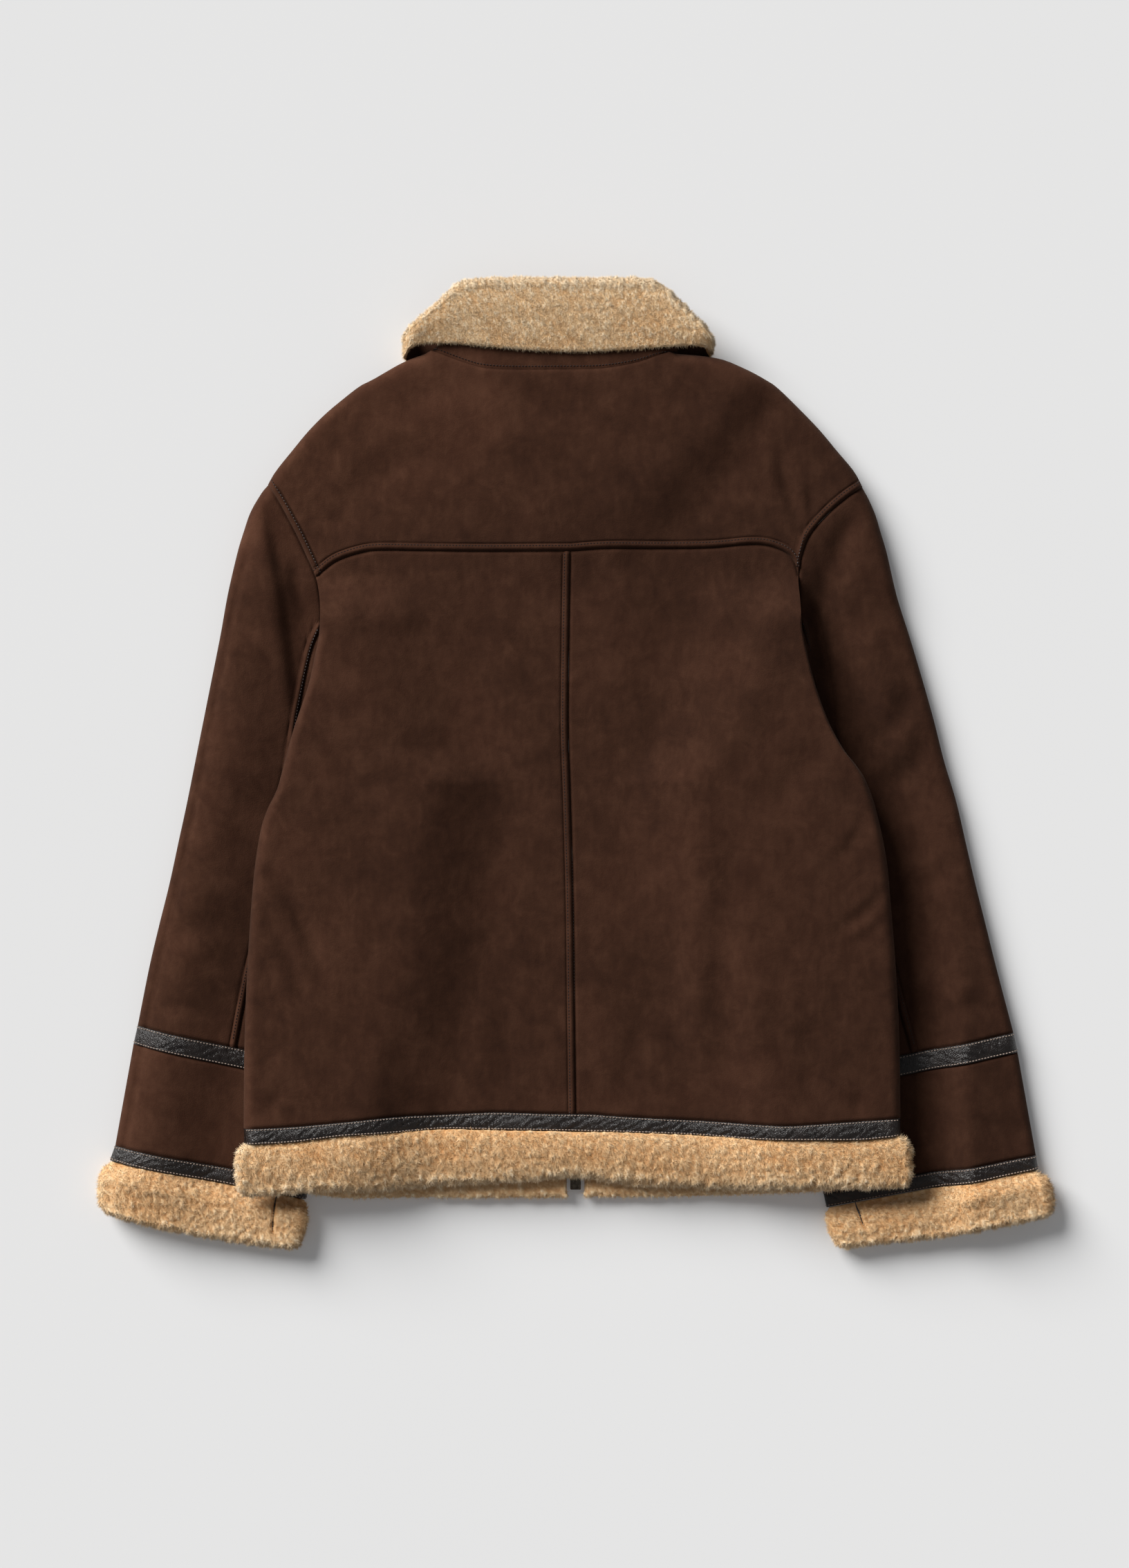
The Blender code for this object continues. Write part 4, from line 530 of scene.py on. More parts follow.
def away_from(line, x, y):
    """Distance of plan points from a line: the least of the distances to its spans."""
    line = along(line, np.linspace(0, 1, max(3, round(length_of(line) / 0.005))))
    start, way = line[:-1], np.diff(line, axis=0)
    reach = np.stack([x, y], axis=-1)[..., None, :] - start
    t = np.clip((reach * way).sum(-1) / (way**2).sum(-1), 0, 1)
    return np.linalg.norm(reach - t[..., None] * way, axis=-1).min(-1)


# Shapes of relief

def ramp(value, start, end):
    """0 up to start, 1 from end on, and 3t² - 2t³ between."""
    t = np.clip((value - start) / (end - start), 0, 1)
    return t * t * (3 - 2 * t)


def rounded(distance):
    """Share of a wall's thickness left at a distance from its rounded edge: a quarter circle."""
    t = 1 - np.clip(distance / FOLD_RADIUS, 0, 1)
    return EDGE_SHARE + (1 - EDGE_SHARE) * np.sqrt(1 - t * t)


def bell(distance, width):
    """1 at no distance, and e to the power of -(distance / width)² away from there."""
    return np.exp(-(distance / width) ** 2)


def welt(distance):
    """A seam with a welt: (grooves, below 0, and the welt, above 0) at a distance from the seam.

    The groove and the stitch line are bells, and the welt is a squared cosine between them.
    """
    sunk = -GROOVE[0] * bell(distance, GROOVE[1]) - STITCH_DIP[0] * bell(distance - STITCH_IN, STITCH_DIP[1])
    t = np.clip(np.abs(distance - WELT_MIDDLE) / WELT_HALF, 0, 1)
    return sunk, WELT_RISE * np.cos(np.pi / 2 * t) ** 2


def plain(distance):
    """A seam's side without a welt: one bell-shaped groove."""
    return -PLAIN_GROOVE[0] * bell(distance, PLAIN_GROOVE[1]), 0.0 * distance


def seams(*parts):
    """Relief where seams meet: the deepest of the grooves plus the highest of the welts."""
    return np.min([part[0] for part in parts], axis=0) + np.max([part[1] for part in parts], axis=0)


def waves(x, y, size, seed):
    """Smooth uneven field, mostly from -1 to 1: nine plane cosine waves in chance directions, added."""
    chance, count = np.random.default_rng(seed), 9
    angle = chance.uniform(0, 2 * np.pi, count)
    length = size * chance.uniform(0.7, 1.6, count)
    phase = chance.uniform(0, 2 * np.pi, count)
    run = (x[..., None] * np.cos(angle) + y[..., None] * np.sin(angle)) / length
    return np.cos(2 * np.pi * run + phase).sum(-1) * np.sqrt(2 / count) * 0.6


def lumps(points, size, seed):
    """Rounded lumps, 0 to 1, parted by creases.

    A jittered grid of seeds, drawn out along y and swayed by slow waves, fills the space. Two parts
    are added: a soft ramp on the difference of the distances to the nearest two seeds, which is 0 on
    a crease, and a crown, 1 less the square of the distance to the nearest.
    """
    jitter = np.random.default_rng(seed).uniform(0.1, 0.9, (24, 24, 24, 3))
    x, y = points[..., 0], points[..., 1]
    sway = np.stack([waves(x, y, 3.5 * size, seed + k) for k in (1, 2, 3)], axis=-1)
    place = points * LUMP_DRAW / size + LUMP_SWAY * sway
    cell = np.floor(place).astype(int)
    first = np.full(x.shape, 9.0)
    second = np.full(x.shape, 9.0)
    for step in np.ndindex(3, 3, 3):
        near = cell + step - 1
        reach = np.linalg.norm(place - near - jitter[tuple(np.moveaxis(near % 24, -1, 0))], axis=-1)
        second = np.minimum(second, np.maximum(reach, first))
        first = np.minimum(first, reach)
    crown = 1 - np.clip(first / 0.80, 0, 1) ** 2
    return (1 - LUMP_CROWN) * ramp(second - first, -0.04, 0.55) + LUMP_CROWN * crown


def creased(x, y, rows):
    """Sum of the listed creases.

    Each follows a bowed line. Across it the depth is a bell with a low ridge on one side, and along it
    the depth rises and dies off as a sine.
    """
    total = np.zeros_like(x)
    for x0, y0, x1, y1, bow, width, depth in rows:
        length = np.hypot(x1 - x0, y1 - y0)
        way = (x1 - x0) / length, (y1 - y0) / length
        run = ((x - x0) * way[0] + (y - y0) * way[1]) / length
        t = np.clip(run, 0, 1)
        off = (x - x0) * way[1] - (y - y0) * way[0] - bow * np.sin(np.pi * t)
        beyond = np.exp(-((run - t) * length / width) ** 2)
        shape = bell(off, width) - 0.4 * bell(off - 1.7 * width, width)
        total -= depth * shape * beyond * np.sin(np.pi * (0.08 + 0.84 * t))
    return total


def nap(x, y, seed):
    """Soft unevenness of the hide: three sizes of waves."""
    return 0.00050 * waves(x, y, 0.085, seed) + 0.00022 * waves(x, y, 0.034, seed + 1) \
        + 0.00008 * waves(x, y, 0.012, seed + 2)


# Heights of the layers

def sleeve_inner_x(side, y):
    """x of the sleeve's hidden inner border at a height y of the plan."""
    sleeve = SLEEVES[side]
    rows = [sleeve["cuff_inner"][-1], sleeve["cuff_band_foot"][1], sleeve["band_foot"][1]]
    rows += list(sleeve["inner"][::-1]) + list(sleeve["head"][-2:6:-1])
    table = np.array(rows)
    return np.interp(y, table[:, 1], table[:, 0])


def sleeve_lift(x, y):
    """1 where a sleeve lies under the body, 0 away from it."""
    left = ramp(x - sleeve_inner_x("left", y), LIFT_NONE, LIFT_FULL)
    right = ramp(sleeve_inner_x("right", y) - x, LIFT_NONE, LIFT_FULL)
    return ramp(y, ARM_LIFT_START_Y, ARM_LIFT_FULL_Y) * np.maximum(left, right)


def collar_lift(x, y):
    """1 where the collar's front ends lie under the body, 0 away from them."""
    edge_y = FRONT_FALL_POINT_Y + FRONT_FALL_RISE * ((x - COLLAR_MIDDLE_X) / COLLAR_HALF_WIDTH) ** 2
    return ramp(y, edge_y - COLLAR_LIFT_REACH, edge_y - COLLAR_LIFT_REACH + COLLAR_LIFT_RUN)


def front_outer(x, y):
    """Height of the fronts' low face, which rises over the sleeves and the collar's front ends."""
    return (SLEEVE_HEIGHT + REST_SPACE) * sleeve_lift(x, y) + STAND_FLOOR * collar_lift(x, y)


def body_wall(x, y):
    """Thickness of the body's wall, which is less where it is raised."""
    raised = np.maximum(sleeve_lift(x, y), collar_lift(x, y))
    return BODY_WALL - (BODY_WALL - SIDE_WALL) * raised


def front_inner(x, y):
    """Height of the fronts' high face: the low one's plus the wall."""
    return front_outer(x, y) + body_wall(x, y)


def back_inner(x, y):
    """Height of the back's low face, an even space above the fronts."""
    return front_inner(x, y) + BODY_SPACE


def back_outer(x, y):
    """Height of the back's outer side: a wall that is fuller over the sleeves, plus its creases."""
    full = BODY_WALL + (SIDE_WALL + SIDE_PUFF - BODY_WALL) * sleeve_lift(x, y)
    full = np.minimum(full, body_wall(x, y) + SIDE_PUFF)
    return back_inner(x, y) + full + CREASE_STRENGTH * creased(x, y, BACK_CREASES) + nap(x, y, 11)


def pile_share(x, y, sizes):
    """A pile depth that is the first size on the flat and the second over a sleeve."""
    return sizes[0] + (sizes[1] - sizes[0]) * sleeve_lift(x, y)


# Finishes

class Field:
    """A number that varies over a surface. Arithmetic on it adds Math nodes."""

    def __init__(self, finish, socket):
        self.finish, self.socket = finish, socket

    def math(self, operation, *values):
        """A Math node between fields and numbers."""
        return self.finish.node("ShaderNodeMath", {"operation": operation}, dict(enumerate(values)))

    def __add__(self, other):
        return self.math("ADD", self, other)

    def __sub__(self, other):
        return self.math("SUBTRACT", self, other)

    def __rsub__(self, other):
        return self.math("SUBTRACT", other, self)

    def __mul__(self, other):
        return self.math("MULTIPLY", self, other)

    __radd__ = __add__
    __rmul__ = __mul__


class Finish:
    """A material built from nodes, which keeps the name of its slot."""

    def __init__(self, name, slot, roughness, metallic=0.0, **constants):
        self.slot = slot
        self.material = bpy.data.materials.new(name)
        self.material.use_nodes = True
        self.tree = self.material.node_tree
        self.shader = self.tree.nodes["Principled BSDF"]
        self.shader.inputs["Roughness"].default_value = roughness
        self.shader.inputs["Metallic"].default_value = metallic
        for name, value in constants.items():
            self.shader.inputs[name.replace("_", " ")].default_value = value
        self.place = self.node("ShaderNodeTexCoord", output="Object")

    def node(self, kind, settings=None, sockets=None, output=0):
        """A new node: its settings first, then the values or links of its sockets."""
        node = self.tree.nodes.new(kind)
        for name, value in (settings or {}).items():
            if name == "stops":
                for k, (position, colour) in enumerate(value):
                    stop = node.color_ramp.elements[k] if k < 2 else node.color_ramp.elements.new(position)
                    stop.position = position
                    stop.color = (*colour, 1.0)
            else:
                setattr(node, name, value)
        for key, value in (sockets or {}).items():
            self.connect(value, node.inputs[key])
        return Field(self, node.outputs[output])

    def connect(self, value, socket):
        """Links a field to a socket, or gives the socket a value."""
        if isinstance(value, Field):
            self.tree.links.new(value.socket, socket)
        else:
            socket.default_value = value

    def noise(self, scale, detail=2.0, roughness=0.5, stretch=None, distortion=0.0):
        """A noise over the piece, with its place scaled first where a stretch is given."""
        place = self.place
        if stretch:
            place = self.node("ShaderNodeMapping", None, {"Vector": place, "Scale": stretch})
        return self.node("ShaderNodeTexNoise", None, {"Vector": place, "Scale": scale, "Detail": detail,
                                                      "Roughness": roughness, "Distortion": distortion})

    def between(self, value, low, high):
        """Stretches the part of a field from low to high to 0 to 1, and clips the rest."""
        return self.node("ShaderNodeMapRange", None, {"Value": value, 1: low, 2: high})

    def colours(self, value, *stops):
        """A run of colours over a field. Each stop is a position and a colour."""
        return self.node("ShaderNodeValToRGB", {"stops": stops}, {"Fac": value})

    def mix(self, share, first, second):
        """A blend of two colours, all of the first at a share of 0."""
        return self.node("ShaderNodeMix", {"data_type": "RGBA"}, {0: share, 6: first, 7: second}, 2)

    def shade(self, colour, value):
        """A colour made lighter or darker by a field around 1."""
        grey = self.node("ShaderNodeCombineXYZ", None, {0: value, 1: value, 2: value})
        return self.node("ShaderNodeVectorMath", {"operation": "MULTIPLY"}, {0: colour, 1: grey})

    def set(self, **links):
        """Links or sets the shader's inputs by their names."""
        for name, value in links.items():
            self.connect(value, self.shader.inputs[name.replace("_", " ")])
        return self

    def bump(self, height, distance, strength):
        """Tilts the normals as a relief of these heights would."""
        sockets = {"Height": height, "Distance": distance, "Strength": strength}
        self.connect(self.node("ShaderNodeBump", None, sockets), self.shader.inputs["Normal"])
        return self


def suede_finish(name, shade=1.0):
    """Brown suede: soft clouds, short brushed streaks, warm drifts and a fine grain. Painted shade makes it
    a little darker towards +X, and painted light makes it lighter on the left shoulder, the side the light
    comes from. A shade below 1 darkens a whole copy as painted shade."""
    f = Finish(name, "suede", 0.92, Sheen_Weight=0.05, Sheen_Roughness=0.45,
               Sheen_Tint=(1.0, 0.78, 0.62, 1.0), Specular_IOR_Level=0.10)
    cloud = f.noise(9.0, 4.0, 0.60, distortion=0.7)
    mottle = f.noise(48.0, 5.0, 0.70, distortion=0.4)
    streak = f.noise(170.0, 2.0, 0.5, stretch=(1.0, 0.35, 1.0))
    grain = f.noise(1100.0, 2.0, 0.6)
    tone = f.between(0.36 * cloud + 0.46 * mottle + 0.18 * streak, 0.36, 0.64)
    base = f.colours(tone, (0.0, (0.0285, 0.0108, 0.0057)), (1.0, (0.0630, 0.0268, 0.0148)),
                     (0.45, (0.0410, 0.0162, 0.0086)))
    warm = f.between(f.noise(9.0, 2.0, 0.5, distortion=0.5), 0.46, 0.66)
    base = f.mix(warm * 0.16, base, (0.0540, 0.0185, 0.0105, 1.0))
    # Painted light and shade: darker towards +X, and lighter on the upper left, where the light falls from.
    right = f.node("ShaderNodeSeparateXYZ", None, {0: f.place})
    top = f.node("ShaderNodeSeparateXYZ", None, {0: f.place}, 1)
    shoulder = f.between(1.2 * top - 0.6 * right, 0.25, 0.50)
    base = f.shade(base, shade * (0.92 - 0.35 * right) * (1 + 0.35 * shoulder) * (0.82 + 0.36 * grain))
    f.set(Base_Color=base)
    return f.bump(0.6 * grain + 0.3 * streak + 0.9 * mottle, 0.0010, 0.45)


def leather_finish():
    """Dark smooth leather with a soft gloss, fine pebbling and short uneven creases."""
    f = Finish("dark_leather", "trim_leather", 0.36, Specular_IOR_Level=0.50)
    cloud = f.noise(60.0, 3.0, 0.5)
    pebble = f.node("ShaderNodeTexVoronoi", {"feature": "DISTANCE_TO_EDGE"},
                    {"Vector": f.place, "Scale": 900.0})
    crease = f.noise(240.0, 3.0, 0.55, stretch=(1.0, 0.45, 1.0), distortion=1.2)
    base = f.colours(f.between(cloud, 0.35, 0.65), (0.0, (0.0065, 0.0040, 0.0033)),
                     (1.0, (0.0130, 0.0085, 0.0070)))
    f.set(Base_Color=base, Roughness=0.20 + 0.22 * crease)
    return f.bump(0.22 * f.between(pebble, 0.0, 0.25) + 0.9 * crease, 0.0010, 0.7)


def fleece_finish(name, soaked):
    """Light tan fleece, from a deep warm brown at low tone to pale tan at high tone, with slow drifts
    between sand and honey. The deep colour is partly the wool's warm roots and partly painted shade in
    creases and grooves; the near-cream colour at the highest tone is painted light on the rims, and partly
    the wool's own paler tips. Light soaks a little way into its skin, and none into its single fibres."""
    f = Finish(name, "pile", 0.95, Sheen_Weight=0.20, Sheen_Roughness=0.6,
               Sheen_Tint=(1.0, 0.92, 0.8, 1.0), Specular_IOR_Level=0.15, Subsurface_Weight=soaked,
               Subsurface_Radius=(1.0, 0.88, 0.74), Subsurface_Scale=0.0016)
    tone = f.node("ShaderNodeAttribute", {"attribute_name": "tone"}, None, "Fac")
    drift = f.between(f.noise(28.0, 3.0, 0.55), 0.38, 0.62)
    fuzz = f.noise(620.0, 4.0, 0.65)
    pale = f.mix(drift, (0.815, 0.580, 0.335, 1.0), (0.785, 0.520, 0.275, 1.0))
    deep = f.mix(drift, (0.600, 0.295, 0.105, 1.0), (0.560, 0.250, 0.078, 1.0))
    # Low tone takes the deep colour: painted shade in creases and grooves, and the wool's warm roots.
    base = f.mix(f.between(tone + 0.30 * fuzz, 0.10, 0.95), deep, pale)
    # Painted light: the highest tone, on the rims, goes towards a near-cream colour, also the wool's paler
    # tips.
    base = f.mix(f.between(tone, 0.80, 1.0), base, (0.930, 0.740, 0.510, 1.0))
    f.set(Base_Color=f.shade(base, 0.90 + 0.20 * fuzz))
    return f.bump(fuzz, 0.0010, 0.45)


def thread_finish(name, colour):
    """Sewing thread: one colour, made lighter and darker by a fine noise."""
    f = Finish(name, "suede", 0.6)
    return f.set(Base_Color=f.shade(colour, 0.8 + 0.4 * f.noise(1500.0, 1.0)))


def tape_finish():
    """Woven tape: dark brown, with fine bands across it."""
    f = Finish("zip_tape", "zip_tape", 0.85)
    weave = f.node("ShaderNodeTexWave", {"bands_direction": "Y"}, {"Vector": f.place, "Scale": 320.0})
    f.set(Base_Color=f.colours(weave, (0.0, (0.012, 0.008, 0.006)), (1.0, (0.028, 0.019, 0.015))))
    return f.bump(weave, 0.0003, 0.5)


def metal_finish():
    """Aged brass, lighter and duller in small patches."""
    f = Finish("aged_brass", "zip_metal", 0.34, 1.0)
    wear = f.noise(380.0, 3.0, 0.6)
    base = f.colours(f.between(wear, 0.35, 0.65), (0.0, (0.060, 0.048, 0.036)), (1.0, (0.150, 0.125, 0.095)))
    f.set(Base_Color=base, Roughness=0.26 + 0.22 * wear)
    return f.bump(wear, 0.0002, 0.3)


SUEDE = suede_finish("brown_suede")
# Painted shade: a copy of the suede darkened to 0.62, for the collar fall's leather, whose edge and turned
# ends lie in shade under the fleece.
PAINTED_SHADE_SUEDE = suede_finish("painted_shade_suede_edge", 0.62)
LEATHER = leather_finish()
FLEECE = fleece_finish("fleece", 0.35)
FIBRES = fleece_finish("fleece_fibres", 0.0)
THREAD = thread_finish("brown_thread", (0.016, 0.008, 0.006))
BAND_THREAD = thread_finish("band_thread", (0.280, 0.215, 0.175))
TAPE = tape_finish()
METAL = metal_finish()


# Meshes

def normals_of(skin, other, ring=False):
    """Unit normals of a skin, on the side away from the other skin: the cross product of its two
    grid directions."""
    across = np.roll(skin, -1, 1) - np.roll(skin, 1, 1) if ring else np.gradient(skin, axis=1)
    normal = np.cross(np.gradient(skin, axis=0), across)
    normal /= np.maximum(np.linalg.norm(normal, axis=-1, keepdims=True), 1e-12)
    return normal * np.sign((normal * (skin - other)).sum())


def quads(ids):
    """Faces between the points of a grid of point numbers."""
    return np.stack([ids[:-1, :-1], ids[1:, :-1], ids[1:, 1:], ids[:-1, 1:]], axis=-1).reshape(-1, 4)


def wall(outer, inner, ring=False, coarse=4):
    """Points and faces of a closed wall.

    The outer skin is fine. The inner skin has every few rows and columns of its grid, and many-sided
    faces along the borders join the two. A ring joins its last column to its first.
    """
    high, wide = outer.shape[:2]
    rows = np.unique([*range(0, high, coarse), high - 1])
    columns = np.arange(0, wide, coarse) if ring else np.unique([*range(0, wide, coarse), wide - 1])
    over = np.arange(high * wide).reshape(high, wide)
    under = high * wide + np.arange(len(rows) * len(columns)).reshape(len(rows), len(columns))
    points = np.concatenate([outer.reshape(-1, 3), inner[np.ix_(rows, columns)].reshape(-1, 3)])
    if ring:
        over, under = np.hstack([over, over[:, :1]]), np.hstack([under, under[:, :1]])
        columns = np.append(columns, wide)
    faces = [quads(over), quads(under)[:, ::-1]]
    for k, (a, b) in enumerate(zip(columns[:-1], columns[1:])):
        faces.append([*over[0, a:b + 1], under[0, k + 1], under[0, k]])
        faces.append([*over[-1, a:b + 1][::-1], under[-1, k], under[-1, k + 1]])
    for k, (a, b) in enumerate(zip(rows[:-1], rows[1:]) if not ring else ()):
        faces.append([*over[a:b + 1, 0][::-1], under[k, 0], under[k + 1, 0]])
        faces.append([*over[a:b + 1, -1], under[k + 1, -1], under[k, -1]])
    return points, faces


def make_mesh(name, points, faces, tone, sharp):
    """Mesh with its faces turned outwards: the volume that they hold has to come out above zero."""
    blocks = [np.atleast_2d(block) for block in faces]
    volume = sum(np.einsum("ij,ij->", points[b[:, 0]], np.cross(points[b[:, k]], points[b[:, k + 1]]))
                 for b in blocks for k in range(1, b.shape[1] - 1))
    if volume < 0:
        blocks = [b[:, ::-1] for b in blocks]
    sizes = np.concatenate([np.full(len(b), b.shape[1]) for b in blocks])
    corners = np.concatenate([b.ravel() for b in blocks])
    mesh = bpy.data.meshes.new(name)
    mesh.vertices.add(len(points))
    mesh.vertices.foreach_set("co", np.asarray(points, float).ravel())
    mesh.loops.add(len(corners))
    mesh.loops.foreach_set("vertex_index", corners.astype(np.int32))
    mesh.polygons.add(len(sizes))
    mesh.polygons.foreach_set("loop_start", (np.cumsum(sizes) - sizes).astype(np.int32))
    mesh.update(calc_edges=True)
    mesh.validate()
    mesh.shade_smooth()
    mesh.set_sharp_from_angle(angle=np.radians(sharp))
    if tone is not None:
        mesh.attributes.new("tone", "FLOAT", "POINT").data.foreach_set("value", np.asarray(tone, np.float32))
    return mesh


def add_piece(name, points, faces, finish, tone=None, body="jacket", sharp=60):
    """A piece of one finish that rides with a body. No point of it goes below the surface."""
    points = np.column_stack([points[:, :2], np.maximum(points[:, 2], 0.0)])
    mesh = make_mesh(name, points, faces, tone, sharp)
    mesh.materials.append(finish.material)
    piece = bpy.data.objects.new(name, mesh)
    bpy.context.scene.collection.objects.link(piece)
    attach(piece, body)
    return piece


def strands(centre, radius, up, sides):
    """Points and faces of closed tapered strands.

    centre holds the stations along each strand. The first and last are single points. Round each
    other one lie points at centre + radius (cos a side + sin a lift), where side is the unit vector
    of the strand's direction × up, and lift is side × direction.
    """
    count, stations = centre.shape[:2]
    way = np.gradient(centre, axis=1)
    way /= np.linalg.norm(way, axis=-1, keepdims=True)
    side = np.cross(way, up)
    side /= np.maximum(np.linalg.norm(side, axis=-1, keepdims=True), 1e-12)
    lift = np.cross(side, way)
    angle = 2 * np.pi * np.arange(sides) / sides
    turn = np.cos(angle)[:, None] * side[:, 1:-1, None] + np.sin(angle)[:, None] * lift[:, 1:-1, None]
    rings = centre[:, 1:-1, None] + radius[:, 1:-1, None, None] * turn
    points = np.concatenate([centre[:, :1], rings.reshape(count, -1, 3), centre[:, -1:]], axis=1)
    a, b = np.arange(sides), (np.arange(sides) + 1) % sides
    last = 1 + (stations - 3) * sides
    tips = np.concatenate([np.stack([0 * a, 1 + b, 1 + a], 1),
                           np.stack([last + a, last + b, 0 * a + last + sides], 1)])
    rounds = [np.stack([k + a, k + b, k + sides + b, k + sides + a], 1) for k in range(1, last, sides)]
    first = (np.arange(count) * points.shape[1])[:, None, None]
    return points.reshape(-1, 3), [(face + first).reshape(-1, face.shape[1]) for face in (tips, *rounds)]


def cut(outer, ring=False):
    """Works out a piece's flat size, and does nothing with it.

    Its flat size is that of its outer skin, the longest row, the longest column and the area, with
    what is turned in at the seams all round.
    """
    whole = np.concatenate([outer, outer[:, :1]], axis=1) if ring else outer
    whole = whole[::2, ::2]
    width = run_in(whole, 1)[:, -1].max() + 2 * TURN_IN
    length = run_in(whole, 0)[-1].max() + 2 * TURN_IN
    halves = np.cross(whole[1:, 1:] - whole[:-1, :-1], whole[1:, :-1] - whole[:-1, 1:])
    area = np.linalg.norm(halves, axis=-1).sum() / 2 + 2 * TURN_IN * (width + length - 2 * TURN_IN)


def cloth(name, outer, inner, finish, node, ring=False, tone=None, coarse=4,
          sharp=60):
    """A wall that stands for a solid, whose part it hides."""
    points, faces = wall(outer, inner, ring, coarse)
    if tone is not None:
        tone = np.concatenate([tone.ravel(), np.zeros(len(points) - tone.size)])
    piece = add_piece(name, points, faces, finish, tone, sharp=sharp)
    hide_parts(node)
    cut(outer, ring)
    return piece


def beside(skin, normal, distance, border):
    """The line on a skin at a distance in from a border, with the skin's normals there."""
    both = np.dstack([skin, normal])
    if border in ("start", "end"):
        both = both.swapaxes(0, 1)
    if border in ("foot", "end"):
        both = both[::-1]
    run = run_in(both[..., :3], 0)
    columns = np.arange(run.shape[1])
    k = np.clip((run < distance).sum(axis=0), 1, len(run) - 1)
    t = (distance - run[k - 1, columns]) / (run[k, columns] - run[k - 1, columns])
    return both[k - 1, columns] + (both[k, columns] - both[k - 1, columns]) * t[:, None]


def stitches(name, lines, finish=THREAD):
    """Rows of stitches along lines of points with normals: short spindles, sunk at both ends."""
    share = np.linspace(-1.0, 1.0, 5)
    centres, ups = [], []
    for line in lines:
        count = max(1, int(length_of(line[:, :3]) / STITCH_PITCH))
        at = (np.arange(count)[:, None] + 0.5 + STITCH_HALF * share) / count
        run = runs_of(line[:, :3])
        both = np.stack([np.interp(at * run[-1], run, line[:, k]) for k in range(6)], axis=-1)
        up = both[..., 3:] / np.linalg.norm(both[..., 3:], axis=-1, keepdims=True)
        rise = STITCH_STAND - STITCH_SINK * share ** 2
        centres.append(both[..., :3] + up * rise[:, None])
        ups.append(up)
    centre, up = np.concatenate(centres), np.concatenate(ups)
    radius = STITCH_RADIUS * np.ones(len(centre))[:, None] * np.array([0.0, 1.0, 1.15, 1.0, 0.0])
    points, faces = strands(centre, radius, up, 4)
    return add_piece(name, points, faces, finish)


def light_up(piece, normal, amount):
    """Turns a piece's normals part of the way from the given ones to straight up."""
    lit = normal + amount * np.array([0.0, 0.0, 1.0]) * (normal[:, 2:] > -0.2)
    piece.data.normals_split_custom_set_from_vertices(lit / np.linalg.norm(lit, axis=-1, keepdims=True))


def fibres(name, skin, normal, tone, count, seed, size, weight):
    """Fine fibres that soften a fleece and its outline.

    Each is a slim pyramid that leaves the skin at a chance place. It leans down the grid, swung by
    slow fields and a little chance. Its tip is lighter than the skin, and its normals are between the
    skin's and the upward way, so that it takes the light as a mass of fibres does.
    """
    chance = np.random.default_rng(seed)
    across, down = skin[:-1, 1:] - skin[:-1, :-1], skin[1:, :-1] - skin[:-1, :-1]
    area = np.linalg.norm(np.cross(across, down), axis=-1) * weight[:-1, :-1]
    total = np.cumsum(area.ravel()) / area.sum()
    cell = np.searchsorted(total, (np.arange(count) + chance.uniform(0, 1, count)) / count)
    i, j = np.unravel_index(np.minimum(cell, area.size - 1), area.shape)
    fi, fj = chance.uniform(0, 1, (2, count, 1))
    root = (1 - fi) * (1 - fj) * skin[i, j] + fi * (1 - fj) * skin[i + 1, j] \
        + (1 - fi) * fj * skin[i, j + 1] + fi * fj * skin[i + 1, j + 1]
    up = normal[i, j]
    forth = down[i, j] - (down[i, j] * up).sum(-1, keepdims=True) * up
    forth /= np.maximum(np.linalg.norm(forth, axis=-1, keepdims=True), 1e-9)
    aside = np.cross(up, forth)
    s, t = run_in(skin, 1)[i, j], run_in(skin, 0)[i, j]
    swing = 0.9 * waves(s, t, 0.012, seed + 5) + 1.1 * chance.normal(size=count)
    forward = np.cos(swing)[:, None] * forth + np.sin(swing)[:, None] * aside
    sideways = np.cross(up, forward)
    length = size * FIBRE_LENGTH * chance.uniform(0.6, 1.3, (count, 1))
    lean = FIBRE_LEAN + 0.28 * chance.normal(size=(count, 1))
    tip = root + length * (np.sin(lean) * forward + np.cos(lean) * up)
    tip[:, 2] = np.maximum(tip[:, 2], FIBRE_RADIUS)
    root = root - FIBRE_SUNK * up
    radius = size * FIBRE_RADIUS * chance.uniform(0.8, 1.3, (count, 1))
    thirds = 2 * np.pi * np.arange(3) / 3
    foot = [root + radius * (np.cos(angle) * sideways + np.sin(angle) * up) for angle in thirds]
    points = np.stack([*foot, tip], axis=1).reshape(-1, 3)
    points[:, 2] = np.maximum(points[:, 2], 0.0)
    corners = np.array([(0, 1, 2), (0, 3, 1), (1, 3, 2), (2, 3, 0)])
    faces = (corners + 4 * np.arange(count)[:, None, None]).reshape(-1, 3)
    # Each fibre's root takes the skin's tone, with the painted shade of the creases, and its tip is paler:
    # partly the wool's own paler tips, partly painted shade left at the root.
    shade = tone[i, j][:, None] + np.array([0.0, 0.0, 0.0, TIP_PALENESS_AND_ROOT_SHADE]) + 0.06 * chance.normal(size=(count, 1))
    piece = add_piece(name, points, [faces], FIBRES, np.clip(shade.ravel(), 0, 1))
    light_up(piece, np.repeat(up, 4, axis=0), FIBRE_LIGHT_UP)
    return piece


